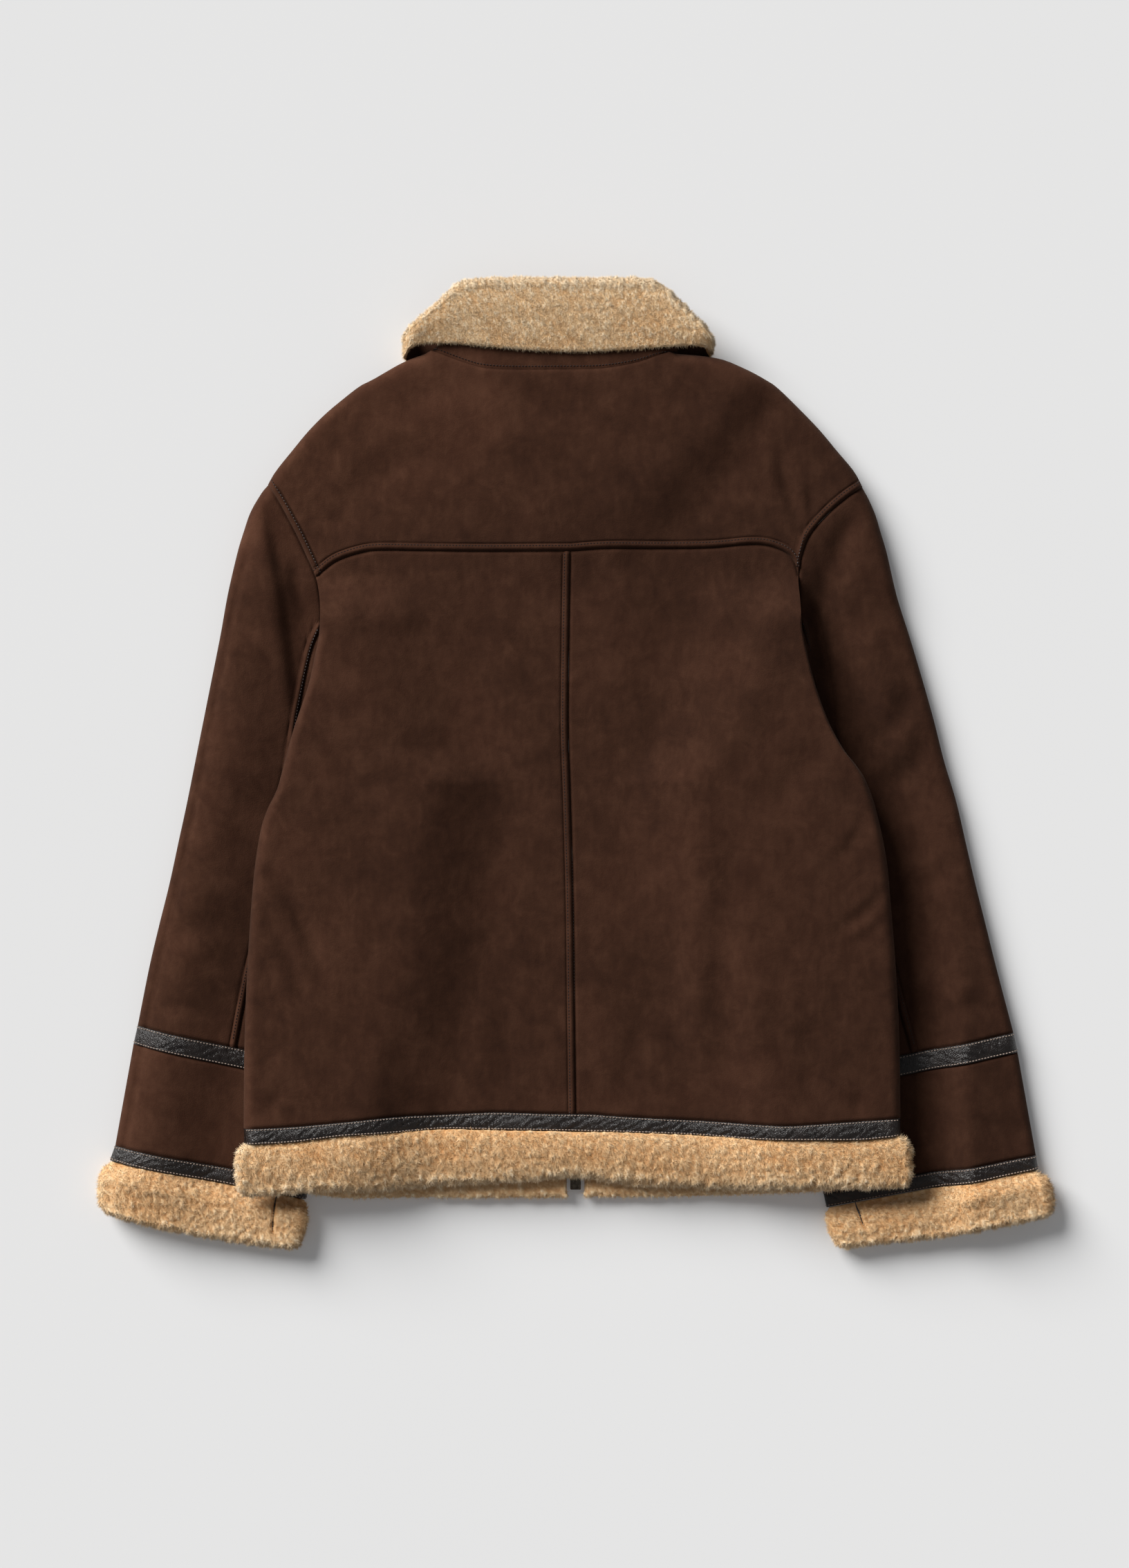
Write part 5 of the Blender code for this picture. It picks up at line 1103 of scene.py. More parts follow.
def piping(name, line, skin):
    """A thin leather edge that follows a line in plan on the upper side of a skin: each of its
    stations takes the height of the nearest point of the skin."""
    plan = along(smooth(line), np.linspace(0, 1, 14))
    tops = skin[skin[..., 2] > 0.012]
    nearest = np.argmin(np.linalg.norm(tops[None, :, :2] - plan[:, None], axis=-1), axis=1)
    height = np.convolve(np.pad(tops[nearest, 2], 2, mode="edge"), np.ones(5) / 5, mode="valid")
    centre = np.column_stack([plan, height + PIPING_RISE])[None]
    swell = PIPING_RADIUS * np.sin(np.pi * np.linspace(0, 1, 14)) ** 0.4
    points, faces = strands(centre, swell[None], np.broadcast_to((0.0, 0.0, 1.0), centre.shape), 8)
    add_piece(name, points, faces, LEATHER)


def rim(distance, radius=RIM_RADIUS):
    """Share of a fleece's thickness left at a distance from its rim: a quarter circle."""
    t = 1 - np.clip(distance / radius, 0, 1)
    return RIM_SHARE + (1 - RIM_SHARE) * np.sqrt(1 - t * t)


def fleece(name, node, outer, inner, count, seed, border, ring=False, size=1.0, weight=1.0,
           curly=1.0, overlap=0.0, groove=0.0, pale=0.0):
    """Fleece wall. Its skin is sunk between the locks and the tufts, most where the wall is thick, and
    the locks stand out along its free border, where they scallop it. An overlap draws its first rows
    over what lies above it. Fine fibres grow from it."""
    normal = normals_of(outer, inner, ring)
    lock = lumps(outer, size * LOCK_SIZE, seed)
    tuft = lumps(outer, size * TUFT_SIZE, seed + 10)
    depth = curly * size * (LOCK_DEPTH * (1 - lock) + TUFT_DEPTH * (1 - tuft)) + groove
    push = RIM_PUSH * (0.35 + 0.65 * lock) * (1 - ramp(border, 0.0, RIM_REACH))
    thickness = np.linalg.norm(outer - inner, axis=-1)
    base = outer + normal * (push - np.minimum(depth, 0.75 * thickness))[..., None]
    if np.any(overlap):
        way = outer[0] - outer[3]
        way /= np.linalg.norm(way, axis=-1, keepdims=True)
        for row, share in enumerate((1.0, 0.8, 0.4)):
            base[row] += way * (share * overlap * lock[4])[:, None]
    base[..., 2] = np.maximum(base[..., 2], 0.0)
    # Painted light on the rim: the tone rises near the free border, where the rounded rim turns from the
    # light. Painted shade: the tone is low in the creases between locks and tufts and in a groove.
    tips = RIM_PAINTED_LIGHT * (1 - ramp(border, 0.002, 0.016)) * (0.4 + 0.6 * lock)
    tone = np.clip(pale + LOCK_PAINTED_SHADE * lock + TUFT_PAINTED_SHADE * tuft + tips - GROOVE_PAINTED_SHADE * groove, 0, 1)
    dense = weight * (1 + 1.5 * (1 - ramp(border, 0.001, 0.006))) * np.ones(tone.shape)
    hair = fibres(name + "_fibres", base, normals_of(base, inner, ring), tone, count, seed + 20, size, dense)
    piece = cloth(name, base, inner, FLEECE, node, ring, tone, sharp=180)
    normal = np.empty(3 * len(piece.data.vertices))
    piece.data.vertices.foreach_get("normal", normal)
    light_up(piece, normal.reshape(-1, 3), SKIN_LIGHT_UP)
    return base


# Body

def free_edge(y):
    """1 below the underarm, where a side of the body is a free rounded edge, and 0 above it."""
    return ramp(y, *FREE_EDGE_Y)


def make_yoke():
    """Back yoke, from shoulder to shoulder, with welts along its lower seam and both armholes.

    The columns meet the neck's two ends: u_top and u_foot are the shares of the upper and the lower
    line at which each column starts and ends.
    """
    shoulders = smooth(LEFT_SHOULDER)[::-1], smooth(RIGHT_SHOULDER)
    neck = smooth(BACK_NECK)
    top = joined(shoulders[0], neck, shoulders[1])
    seam = joined(smooth(LEFT_YOKE_SEAM), smooth(RIGHT_YOKE_SEAM)[::-1])
    armholes = [split_at(edges["armhole"], edges["side"])[0] for edges in EDGE_LINES.values()]
    lines = top, seam, *armholes

    u_foot = spread(length_of(seam), SEAM_STOPS, SEAM_STOPS, PANEL_STEP)
    neck_x = [np.interp(x, seam[:, 0], runs_of(seam)) / length_of(seam) for x in (neck[0, 0], neck[-1, 0])]
    corners = [int(np.searchsorted(u_foot, share)) for share in neck_x]
    left, right = (length_of(shoulder) for shoulder in shoulders)
    near = np.array(SEAM_STOPS)
    west = np.concatenate([near, np.linspace(near[-1], left, corners[0] + 2 - len(near))[1:]])
    east = np.concatenate([near, np.linspace(near[-1], right, len(u_foot) - corners[1] + 1 - len(near))[1:]])
    between = left + np.linspace(0, length_of(neck), corners[1] - corners[0] + 1)[1:-1]
    u_top = np.concatenate([west, between, length_of(top) - east[::-1]]) / length_of(top)

    drop = np.linspace(0.0, 1.0, 25)[:, None]
    coarse = patch(u_top + (u_foot - u_top) * drop, drop, *lines)
    depths = np.linalg.norm(np.diff(coarse, axis=0), axis=2).sum(axis=0)
    v = spread(depths, EDGE_STOPS, SEAM_STOPS, PANEL_STEP)
    plan = patch(u_top + (u_foot - u_top) * v, v, *lines)
    plan = inset(plan, SEAM_GAP / 2, columns=(False, False))
    plan = inset(plan, ARMHOLE_GAP / 2, rows=(False, False))
    x, y = plan[..., 0], plan[..., 1]

    columns = np.arange(len(u_top))[None, :]
    shoulder = (columns < corners[0]) | (columns > corners[1])
    share = np.where(shoulder, rounded(run_in(plan, 0)), 1.0)
    neck_seam = [NECK_GROOVE * part for part in plain(away_from(neck, x, y))]
    relief = seams(*(welt(away_from(line, x, y)) for line in (seam, *armholes)), neck_seam)
    inner = back_inner(x, y)
    skin, under = skins(plan, inner, (back_outer(x, y) + relief - inner) * share)
    normal = normals_of(skin, under)
    foot, start, end = (beside(skin, normal, STITCH_IN, border) for border in ("foot", "start", "end"))
    sewing = stitches("back_yoke_stitches", [foot, start[3:], end[3:]])
    cloth("back_yoke_suede", skin, under, SUEDE, "back_yoke")


def make_back(side):
    """Half of the lower back. The left one carries the welt of the centre back seam."""
    edges = EDGE_LINES[side]
    edge = split_at(edges["armhole"], edges["side"])[1]
    lines = smooth(edges["yoke"]), smooth(edges["band"]), edge, smooth(CENTRE_SEAM)
    v = spread(length_of(edge), PLAIN_STOPS, PLAIN_STOPS, PANEL_STEP)
    plan = patch(spread(row_lengths(lines, v), EDGE_STOPS, SEAM_STOPS, PANEL_STEP).T, v[:, None], *lines)
    plan = inset(plan, SEAM_GAP / 2)
    x, y = plan[..., 0], plan[..., 1]
    share = 1 - free_edge(y) * (1 - rounded(run_in(plan, 1)))
    middle = (welt if side == "left" else plain)(away_from(lines[3], x, y))
    relief = seams(middle, plain(away_from(lines[0], x, y)), plain(away_from(lines[1], x, y)))
    inner = back_inner(x, y)
    skin, under = skins(plan, inner, (back_outer(x, y) + relief - inner) * share)
    extras = ()
    if side == "left":
        row = beside(skin, normals_of(skin, under), STITCH_IN, "end")[2:]
        extras = (stitches("centre_back_stitches", [row]),)
    cloth("back_" + side + "_suede", skin, under, SUEDE, "back_" + side)


def make_front(side):
    """Front, face down on the surface, from the zip to the side and from the neck to the hem."""
    sign = -1 if side == "left" else 1
    edges = EDGE_LINES[side]
    neck, shoulder = smooth(edges["neck"])[::-1], smooth(edges["shoulder"])
    edge = joined(*split_at(edges["armhole"], edges["side"]))
    top = joined(neck, shoulder)
    middle = np.array([top[0], (sign * FRONT_EDGE_X, FRONT_FOOT_Y)])
    edge[-1] = edge[-1][0], FRONT_FOOT_Y
    foot = np.array([middle[-1], edge[-1]])
    corner = length_of(neck) / length_of(top)
    near_zip = spread(length_of(neck), ZIP_STOPS, (0.0,), FRONT_STEP)[:-1]
    near_side = spread(length_of(shoulder), (0.0,), EDGE_STOPS, FRONT_STEP)
    u = np.concatenate([near_zip * corner, corner + (1 - corner) * near_side])
    v = spread(length_of(edge), EDGE_STOPS, PLAIN_STOPS, FRONT_STEP)
    plan = patch(u[None, :], v[:, None], top, foot, middle, edge)
    plan = inset(plan, SEAM_GAP / 2, columns=(False, False))
    plan = inset(plan, FRONT_ARMHOLE_GAP / 2, rows=(False, False), columns=(False, True))
    x, y = plan[..., 0], plan[..., 1]
    top_edge = (u > corner).astype(float)[None, :]
    share = np.minimum(1 - top_edge * (1 - rounded(run_in(plan, 0))),
                       1 - free_edge(y) * (1 - rounded(run_in(plan, 1, True))))
    inner, outer = front_inner(x, y), front_outer(x, y)
    hollow = np.maximum(-creased(sign * x, y, FRONT_CREASES), 0.0) * ramp(inner - outer, 0.004, 0.008)
    hollow += GROOVE[0] * bell(away_from(foot, x, y), GROOVE[1])
    skin, under = skins(plan, inner, (outer + hollow - inner) * share)
    row = beside(skin, normals_of(skin, under), FRONT_STITCH_IN, "start")[2:-2]
    extras = stitches("front_" + side + "_stitches", [row]), make_tape(side)
    cloth("front_" + side + "_suede", skin, under, SUEDE, "front_" + side, coarse=2)


# Hem

def crinkled(s, t, seed):
    """Long slanting creases of a leather band, 0 to 1: narrow valleys where a bent wave crosses 0."""
    bent = 0.5 * s + t + 0.0022 * waves(s, t, 0.026, seed) + 0.0006 * waves(s, t, 0.008, seed + 1)
    valley = bell(np.sin(np.pi * bent / WRINKLE_PITCH), 0.36)
    valley += 0.5 * bell(np.sin(np.pi * (bent * 1.37 + 0.3 * s) / WRINKLE_PITCH), 0.30)
    return valley * (0.25 + 0.75 * ramp(waves(s, t, 0.026, seed + 2), -0.8, 0.6))


def band_relief(s, t, width, seed):
    """Rise of a band, s along it and t across it.

    Each edge is rolled down in a quarter circle, a bell dips along each line of stitches, the creases
    are cut in, and a wide bell crowns the middle.
    """
    edge = np.minimum(t, width - t)
    roll = -BAND_ROLL[0] * (1 - np.sqrt(1 - (1 - np.clip(edge / BAND_ROLL[1], 0, 1)) ** 2))
    dips = -BAND_DIP[0] * bell(edge - BAND_STITCH_IN, BAND_DIP[1])
    wrinkles = WRINKLE_DEPTH * crinkled(s, t, seed) * ramp(edge, 0.0004, 0.0030)
    return roll + dips - wrinkles + BAND_CROWN * bell(edge - width / 2, width / 3)


def leather_band(name, skin, under, kept=slice(None), ring=False):
    """Band of dark leather with a line of stitches along each edge, of which the kept part is sewn."""
    normal = normals_of(skin, under, ring)
    rows = [beside(skin, normal, BAND_STITCH_IN, border)[kept] for border in ("top", "foot")]
    if ring:
        rows = [np.vstack([row, row[:1]]) for row in rows]
    sewing = stitches(name + "_stitches", rows, BAND_THREAD)
    cloth(name + "_leather", skin, under, LEATHER, name, ring=ring)


def make_back_hem():
    """Leather band and turned-out fleece along the back's lower edge.

    The fleece lies on that of the fronts. Its depth is crowned by a sine down its width and thinned
    at its rims.
    """
    top = joined(smooth(LEFT_BAND_TOP), smooth(RIGHT_BAND_TOP)[::-1])
    middle = joined(smooth(LEFT_BAND_FOOT), smooth(RIGHT_BAND_FOOT)[::-1])
    u = spread(length_of(top), EDGE_STOPS, EDGE_STOPS, BAND_STEP)[None, :]
    plan = inset(patch(u, np.array(BAND_ROWS)[:, None], *sided(top, middle)), SEAM_GAP / 2)
    x, y = plan[..., 0], plan[..., 1]
    share = np.minimum(rounded(run_in(plan, 1)), rounded(run_in(plan, 1, True)))
    s, t = run_in(plan, 1), run_in(plan, 0)
    rise = BAND_RISE + band_relief(s, t, t[-1:], 31)
    inner = back_inner(x, y)
    skin, under = skins(plan, inner, (back_outer(x, y) + rise - inner) * share)
    leather_band("hem_band_back", skin, under, slice(4, -4))

    u = spread(length_of(middle), RIM_STOPS, RIM_STOPS, FLEECE_STEP)[None, :]
    v = spread(HEM_PILE_DEPTH, PILE_STOPS, RIM_STOPS, FLEECE_STEP)[:, None]
    side_in = RIM_IN / length_of(middle)
    plan = patch(side_in + (1 - 2 * side_in) * u, v * (1 - RIM_IN / HEM_PILE_DEPTH), middle,
                 smooth(BACK_PILE_FOOT), smooth(LEFT_PILE_END), smooth(RIGHT_PILE_END))
    plan = inset(plan, SEAM_GAP / 2, (True, False), (False, False))
    x, y = plan[..., 0], plan[..., 1]
    low = front_outer(x, y) + pile_share(x, y, FRONT_PILE) + HEM_PILE_SPACE
    crown = 1 - BACK_PILE_CROWN + BACK_PILE_CROWN * np.sin(np.pi * v)
    ends, from_foot = np.minimum(run_in(plan, 1), run_in(plan, 1, True)), run_in(plan, 0, True)
    share = np.minimum(rim(ends), rim(from_foot))
    skin, under = skins(plan, low, pile_share(x, y, BACK_PILE) * crown * share)
    fleece("hem_fleece_back", "hem_pile_back", skin, under, BACK_FIBRES, 101,
           np.minimum(ends, from_foot),
           curly=0.9 + 0.5 * ramp(v, 0.1, 0.6),
           overlap=HEM_OVERLAP * (0.35 + 0.65 * ramp(x[0], -0.12, 0.12)))


def make_front_hem(side):
    """Leather band and fleece along a front's lower edge, face down."""
    sign = -1 if side == "left" else 1
    edge_x = EDGE_LINES[side]["side"][-1][0]
    top, middle = (np.array([(sign * FRONT_EDGE_X, y), (edge_x, y)])
                   for y in (FRONT_FOOT_Y, FRONT_BAND_FOOT_Y))
    u = spread(length_of(top), (0.0, 0.004), EDGE_STOPS, 2 * BAND_STEP)[None, :]
    plan = inset(patch(u, np.linspace(0.0, 1.0, 9)[:, None], *sided(top, middle)), SEAM_GAP / 2)
    x, y = plan[..., 0], plan[..., 1]
    share = rounded(run_in(plan, 1, True))
    s, t = run_in(plan, 1), run_in(plan, 0)
    inner = front_inner(x, y)
    outer = front_outer(x, y) + BAND_RISE - band_relief(s, t, t[-1:], 33 + sign)
    skin, under = skins(plan, inner, (outer - inner) * share)
    leather_band("hem_band_front_" + side, skin, under, slice(1, -4))

    foot = smooth(FRONT_PILE_FOOT[side])[::-1]
    top = np.array([(sign * PILE_EDGE_X, FRONT_BAND_FOOT_Y), (edge_x, FRONT_BAND_FOOT_Y)])
    u = spread(length_of(top), RIM_STOPS, RIM_STOPS, 1.4 * FLEECE_STEP)[None, :]
    v = spread(HEM_PILE_DEPTH, (0.0, 0.002, 0.004), RIM_STOPS, 1.4 * FLEECE_STEP)[:, None]
    plan = patch(0.990 * u, v * (1 - FRONT_PILE_IN / HEM_PILE_DEPTH), *sided(top, foot))
    plan = inset(plan, SEAM_GAP / 2, (True, False), (False, False))
    x, y = plan[..., 0], plan[..., 1]
    thick = pile_share(x, y, FRONT_PILE)
    from_side, from_foot = run_in(plan, 1, True), run_in(plan, 0, True)
    share = np.min([rim(run_in(plan, 1), 0.0025), rim(from_side, 0.006), rim(from_foot, 0.006)], axis=0)
    low = front_outer(x, y) + 0.45 * thick * (1 - share)
    skin, under = skins(plan, low, thick * share * 0.98)
    shown = 0.15 + 0.85 * ramp(y, -0.340, -0.350)
    fleece("hem_fleece_front_" + side, "hem_pile_front_" + side, skin, under, FRONT_FIBRES, 111 + sign,
           np.minimum(from_side, from_foot), size=0.85, weight=shown)


# Sleeves

FOLD_ANGLES = np.radians(np.linspace(78, -78, 11))


def tube_columns(upper, lower, ends):
    """Stations round a flattened tube, or part of one.

    Each is a share across its width, a sideways part and an upward part of its rounding: 0 and 1 on
    the upper wall, 0 and -1 on the lower wall. ends names the folded edges that it runs round,
    "outer" or "inner" or both, in which case it is a full ring.
    """
    def flat(shares, up):
        return [(share, 0.0, up) for share in shares]

    def bend(share, way, angles):
        return [(share, way * np.cos(angle), np.sin(angle)) for angle in angles]

    rows = flat(upper, 1)
    if ends == "outer":
        rows += bend(0.0, -1, FOLD_ANGLES) + flat(lower, -1)
    else:
        rows += bend(1.0, 1, FOLD_ANGLES) + flat(lower, -1)
    if ends == "both":
        rows += bend(0.0, -1, FOLD_ANGLES[::-1])
    return np.array(rows).T


def flat_tube(lines, v, columns, height, relief, gaps, share=None):
    """Skins of a flattened tube between a head line and a foot line.

    Across it, a point's distance from the outer edge is half the tube's height plus its share of the
    rest, and round a folded edge both skins are half circles about the same centre. relief raises
    the skin that shows, and the skin on the surface stays flat.
    """
    top, foot, outer_edge, inner_edge = lines
    share_across, sideways, upward = (row[None, :] for row in columns)
    v = np.asarray(v)[:, None]
    width = (1 - v) * length_of(top) + v * length_of(foot)
    base = patch(share_across, v, top, foot, outer_edge, inner_edge)
    half = height(base[..., 0], base[..., 1], share_across, v) / 2
    found = []
    for reach in (half, np.full_like(half, SLEEVE_SPACE / 2)):
        across = half + share_across * (width - 2 * half) + reach * sideways
        plan = patch(across / width, v, top, foot, outer_edge, inner_edge)
        plan = inset(plan, gaps[0], rows=(True, False), columns=(False, False))
        plan = inset(plan, gaps[1], rows=(False, True), columns=(False, False))
        found.append(np.dstack([plan, half + reach * upward]))
    outer, inner = found
    if relief is not None:
        raised = relief(outer[..., 0], outer[..., 1])
        outer[..., 2] += np.clip(upward, 0, 1) ** 2 * raised
        outer[..., 2] += np.clip(-upward, 0, 1) ** 4 * np.maximum(-raised, 0) * 0.6
    if share is not None:
        outer = inner + (outer - inner) * share[:, None, None]
    return outer, inner


def make_sleeve(side):
    """Sleeve, a flattened tube that lies beside the body and partly under it.

    From the armhole down it is a top sleeve round its outer edge and an under sleeve round its inner
    one, a leather band, a forearm, a second band, and a cuff of fleece with a short join in it.
    """
    sleeve = SLEEVES[side]
    sign = -1 if side == "left" else 1
    head = smooth(sleeve["head"])
    outer_edge, inner_edge = smooth(sleeve["outer"]), smooth(sleeve["inner"])
    outer_edge[:, 0] += sign * EDGE_OUT * ramp(outer_edge[0, 1] - outer_edge[:, 1], 0.0, 0.06)
    band_top = np.array([outer_edge[-1], sleeve["band_top"][1]])
    main = head, band_top, outer_edge, inner_edge
    body_edge = np.array(EDGE_LINES[side]["side"][::-1])
    swelling = SLEEVE_SWELL[side]

    def swell(x, y, share):
        """Fuller between the outer edge and the body, by a sine of a power of the share across, and
        pressed down beside the body, by a soft ramp on the distance from it."""
        clear = np.abs(x) - np.abs(np.interp(y, body_edge[:, 1], body_edge[:, 0]))
        pressed = swelling["pressed"] + (PRESSED_AT_ARMHOLE - swelling["pressed"]) * ramp(y, *PRESSED_Y)
        crown = np.sin(np.pi * np.clip(share / PUFF_SHARE, 0, 1) ** swelling["power"])
        puff = SLEEVE_PUFF * ramp(clear, pressed - PUFF_MARGIN, swelling["full"]) * crown
        depth = swelling["depth"] * ramp(y, *swelling["from_y"])
        return puff - depth * ramp(clear, swelling["full"], pressed)

    def height(x, y, share, v):
        """Flat under the body, fuller where it shows, and level with the yoke at the armhole."""
        at_head = SLEEVE_HEAD_RISE * ramp(y, ARM_LIFT_FULL_Y, ARM_LIFT_START_Y) * (1 - ramp(v, 0.0, 0.45))
        return SLEEVE_HEIGHT + at_head + ramp(v, 0.0, 0.12) * swell(x, y, share)

    def tube_height(base):
        """A height that is the same all over, plus the swell."""
        return lambda x, y, share, v: base + swell(x, y, share)

    fold = smooth(sleeve["fold"])
    hind_seam = patch(np.full(60, SLEEVE_SEAM), np.linspace(0, 1, 60), *main)

    def relief(x, y):
        """The deep fold beside the armhole, the creases, the unevenness of the hide and the seams."""
        run = ramp(y, fold[-1, 1] - 0.03, fold[-1, 1] + 0.05) * ramp(y, fold[0, 1] + 0.02, fold[0, 1] - 0.03)
        within = np.abs(np.interp(y, fold[::-1, 1], fold[::-1, 0])) - np.abs(x)
        deep = SLEEVE_FOLD_DEPTH * (0.35 * bell(within + 0.004, 0.006) - ramp(within, -0.001, 0.009)) * run
        visible = CREASE_STRENGTH * creased(x, y, SLEEVE_CREASES[side]) + SLEEVE_NAP * nap(x, y, 41)
        return deep + visible + seams(plain(away_from(head, x, y)), plain(away_from(band_top, x, y)))

    def sleeve_panel(way, join, stops, counts, step):
        """Skins of the top sleeve, for a way of -1, or of the under sleeve, for 1.

        Each runs from the hind seam round its folded edge to the front seam.
        """
        seam, near = SEAM_GAP / 2 / length_of(band_top), np.array(stops) / SLEEVE_MEAN_WIDTH
        edge = (1 + way) / 2
        rest = np.linspace(SLEEVE_SEAM + way * near[-1], edge, counts[0])[1:]
        upper = np.concatenate([SLEEVE_SEAM + way * seam + way * near, rest])
        lower = np.linspace(edge, SLEEVE_FRONT_SEAM + way * seam, counts[1])
        v = spread(length_of(outer_edge), PLAIN_STOPS, PLAIN_STOPS, step)
        columns = tube_columns(upper, lower, "outer" if way < 0 else "inner")
        return flat_tube(main, v, columns, height,
                         lambda x, y: relief(x, y) + seams(join(away_from(hind_seam, x, y))),
                         (ARMHOLE_GAP / 2, SEAM_GAP / 2))

    skin, under = sleeve_panel(-1, welt, SEAM_STOPS, (32, 18), PANEL_STEP)
    row = beside(skin, normals_of(skin, under), STITCH_IN, "start")[6:-6]
    sewing = stitches("top_sleeve_" + side + "_stitches", [row])
    cloth("top_sleeve_" + side + "_suede", skin, under, SUEDE, "top_sleeve_" + side)
    skin, under = sleeve_panel(1, plain, PLAIN_STOPS, (26, 14), 1.6 * PANEL_STEP)
    cloth("under_sleeve_" + side + "_suede", skin, under, SUEDE, "under_sleeve_" + side)

    names = "band_top", "band_foot", "cuff_band_top", "cuff_band_foot"
    cross = [np.array(sleeve[name]) + ((sign * EDGE_OUT, 0.0), (0.0, 0.0)) for name in names]
    around = tube_columns(np.linspace(0.0, 1.0, 110), np.linspace(1.0, 0.0, 50), "both")
    both_gaps = SEAM_GAP / 2, SEAM_GAP / 2
    bands = ("sleeve_band_", 0, SLEEVE_HEIGHT + SLEEVE_BAND_RISE), ("cuff_band_", 2, CUFF_BAND_HEIGHT)
    for prefix, k, base in bands:
        top, foot = cross[k], cross[k + 1]
        width = np.linalg.norm(foot[0] - top[0])

        def band_rise(x, y, top=top, width=width, k=k):
            """Rolled edges, stitch lines and creases, from the distance to the band's upper line."""
            way = (top[1] - top[0]) / np.linalg.norm(top[1] - top[0])
            s = (x - top[0, 0]) * way[0] + (y - top[0, 1]) * way[1]
            t = np.abs((x - top[0, 0]) * way[1] - (y - top[0, 1]) * way[0])
            return band_relief(s, np.minimum(t, width), width, 51 + k)

        skin, under = flat_tube(sided(top, foot), BAND_ROWS, around, tube_height(base), band_rise, both_gaps)
        leather_band(prefix + side, skin, under, ring=True)

    forearm = sided(cross[1], cross[2])
    v = spread(length_of(forearm[2]), PLAIN_STOPS, PLAIN_STOPS, PANEL_STEP)
    around = tube_columns(np.linspace(0.0, 1.0, 64), np.linspace(1.0, 0.0, 32), "both")

    def forearm_relief(x, y):
        """The unevenness of the hide, and a plain seam at both bands."""
        ends = (plain(away_from(line, x, y)) for line in cross[1:3])
        return SLEEVE_NAP * nap(x, y, 41) + seams(*ends)

    skin, under = flat_tube(forearm, v, around, tube_height(SLEEVE_HEIGHT), forearm_relief, both_gaps)
    cloth("forearm_" + side + "_suede", skin, under, SUEDE, "forearm_" + side, ring=True)

    cuff_outer, cuff_inner = smooth(sleeve["cuff_outer"]), smooth(sleeve["cuff_inner"])
    lines = np.array([cuff_outer[0], cuff_inner[0]]), smooth(sleeve["cuff_foot"]), cuff_outer, cuff_inner
    v = spread(CUFF_PILE_DEPTH, PILE_STOPS, RIM_STOPS, FLEECE_STEP) * (1 - RIM_IN / CUFF_PILE_DEPTH)
    from_foot = (v[-1] - v) * CUFF_PILE_DEPTH
    around = tube_columns(np.linspace(0.0, 1.0, 120), np.linspace(1.0, 0.0, 44), "both")

    def cuff_height(x, y, share, v):
        """Rises from the band's height to the fleece's, and swells less towards its foot."""
        rise = (CUFF_PILE_HEIGHT - CUFF_BAND_HEIGHT) * ramp(v, 0.0, 0.35)
        return CUFF_BAND_HEIGHT + rise + swell(x, y, share) * (1 - 0.6 * ramp(v, 0.0, 0.6))

    skin, under = flat_tube(lines, v, around, cuff_height, None, (SEAM_GAP / 2, 0.0), rim(from_foot))
    x, y, z = np.moveaxis(skin, -1, 0)
    join = np.array(CUFF_JOINS[side])
    cut_in, width = CUFF_JOIN_GROOVE
    groove = cut_in * bell(away_from(join, x, y), width) * ramp(z, 0.012, 0.018)
    shown = ramp(z, 0.003, 0.010) * (1 - ramp(groove, 0.0004, 0.0012))
    base = fleece("cuff_fleece_" + side, "cuff_pile_" + side, skin, under, CUFF_FIBRES, 131,
                  from_foot[:, None], ring=True, weight=shown, curly=1.6, size=0.9, groove=groove)
    piping("cuff_join_" + side + "_leather", join, base)


# Collar

def collar_ring(patches, v, low, high, reaches, share, counts, outside):
    """Skins of an open ring round the neck, flattened into a lower and an upper layer.

    patches are those of the left front, from the side inwards, of the back, and of the right front.
    low and high give the ring's lowest and highest height for each row v. At each side it turns over
    in a half circle, with both skins about one centre. outside says which skin the rounded edge thins.
    """
    half, middle = (high - low) / 2, (high + low) / 2
    widths = [row_lengths(lines, v) for lines in patches]
    front, back = np.linspace(0.0, 1.0, counts[0]), np.linspace(0.0, 1.0, counts[1])

    def flat(k, u):
        """Plan of a layer's column at a share u of the width that its turned sides leave."""
        both = 2 * half if k == 1 else half
        return patch((half + u * (widths[k] - both)) / widths[k], v, *patches[k])

    def turned(k, reach, angle):
        """Plan of a column on a turned side, which goes over from the front's patch to the back's."""
        across = half - reach * np.cos(angle)
        back_share = across / widths[1] if k == 0 else 1 - across / widths[1]
        lower = ramp(-np.sin(angle), -0.3, 0.9)
        front_plan = patch(across / widths[k], v, *patches[k])
        return (1 - lower) * patch(back_share, v, *patches[1]) + lower * front_plan

    found = []
    for reach in (half - depth for depth in reaches):
        columns = [(flat(0, u), -1.0) for u in front[::-1]]
        columns += [(turned(0, reach, angle), np.sin(angle)) for angle in FOLD_ANGLES[::-1]]
        columns += [(flat(1, u), 1.0) for u in back]
        columns += [(turned(2, reach, angle), np.sin(angle)) for angle in FOLD_ANGLES]
        columns += [(flat(2, u), -1.0) for u in front]
        found.append(np.stack([np.column_stack([plan, middle + reach * up]) for plan, up in columns], axis=1))
    outer, inner = found
    if outside:
        outer = inner + (outer - inner) * share[:, None, None]
    else:
        inner = outer + (inner - outer) * share[:, None, None]
    return outer, inner


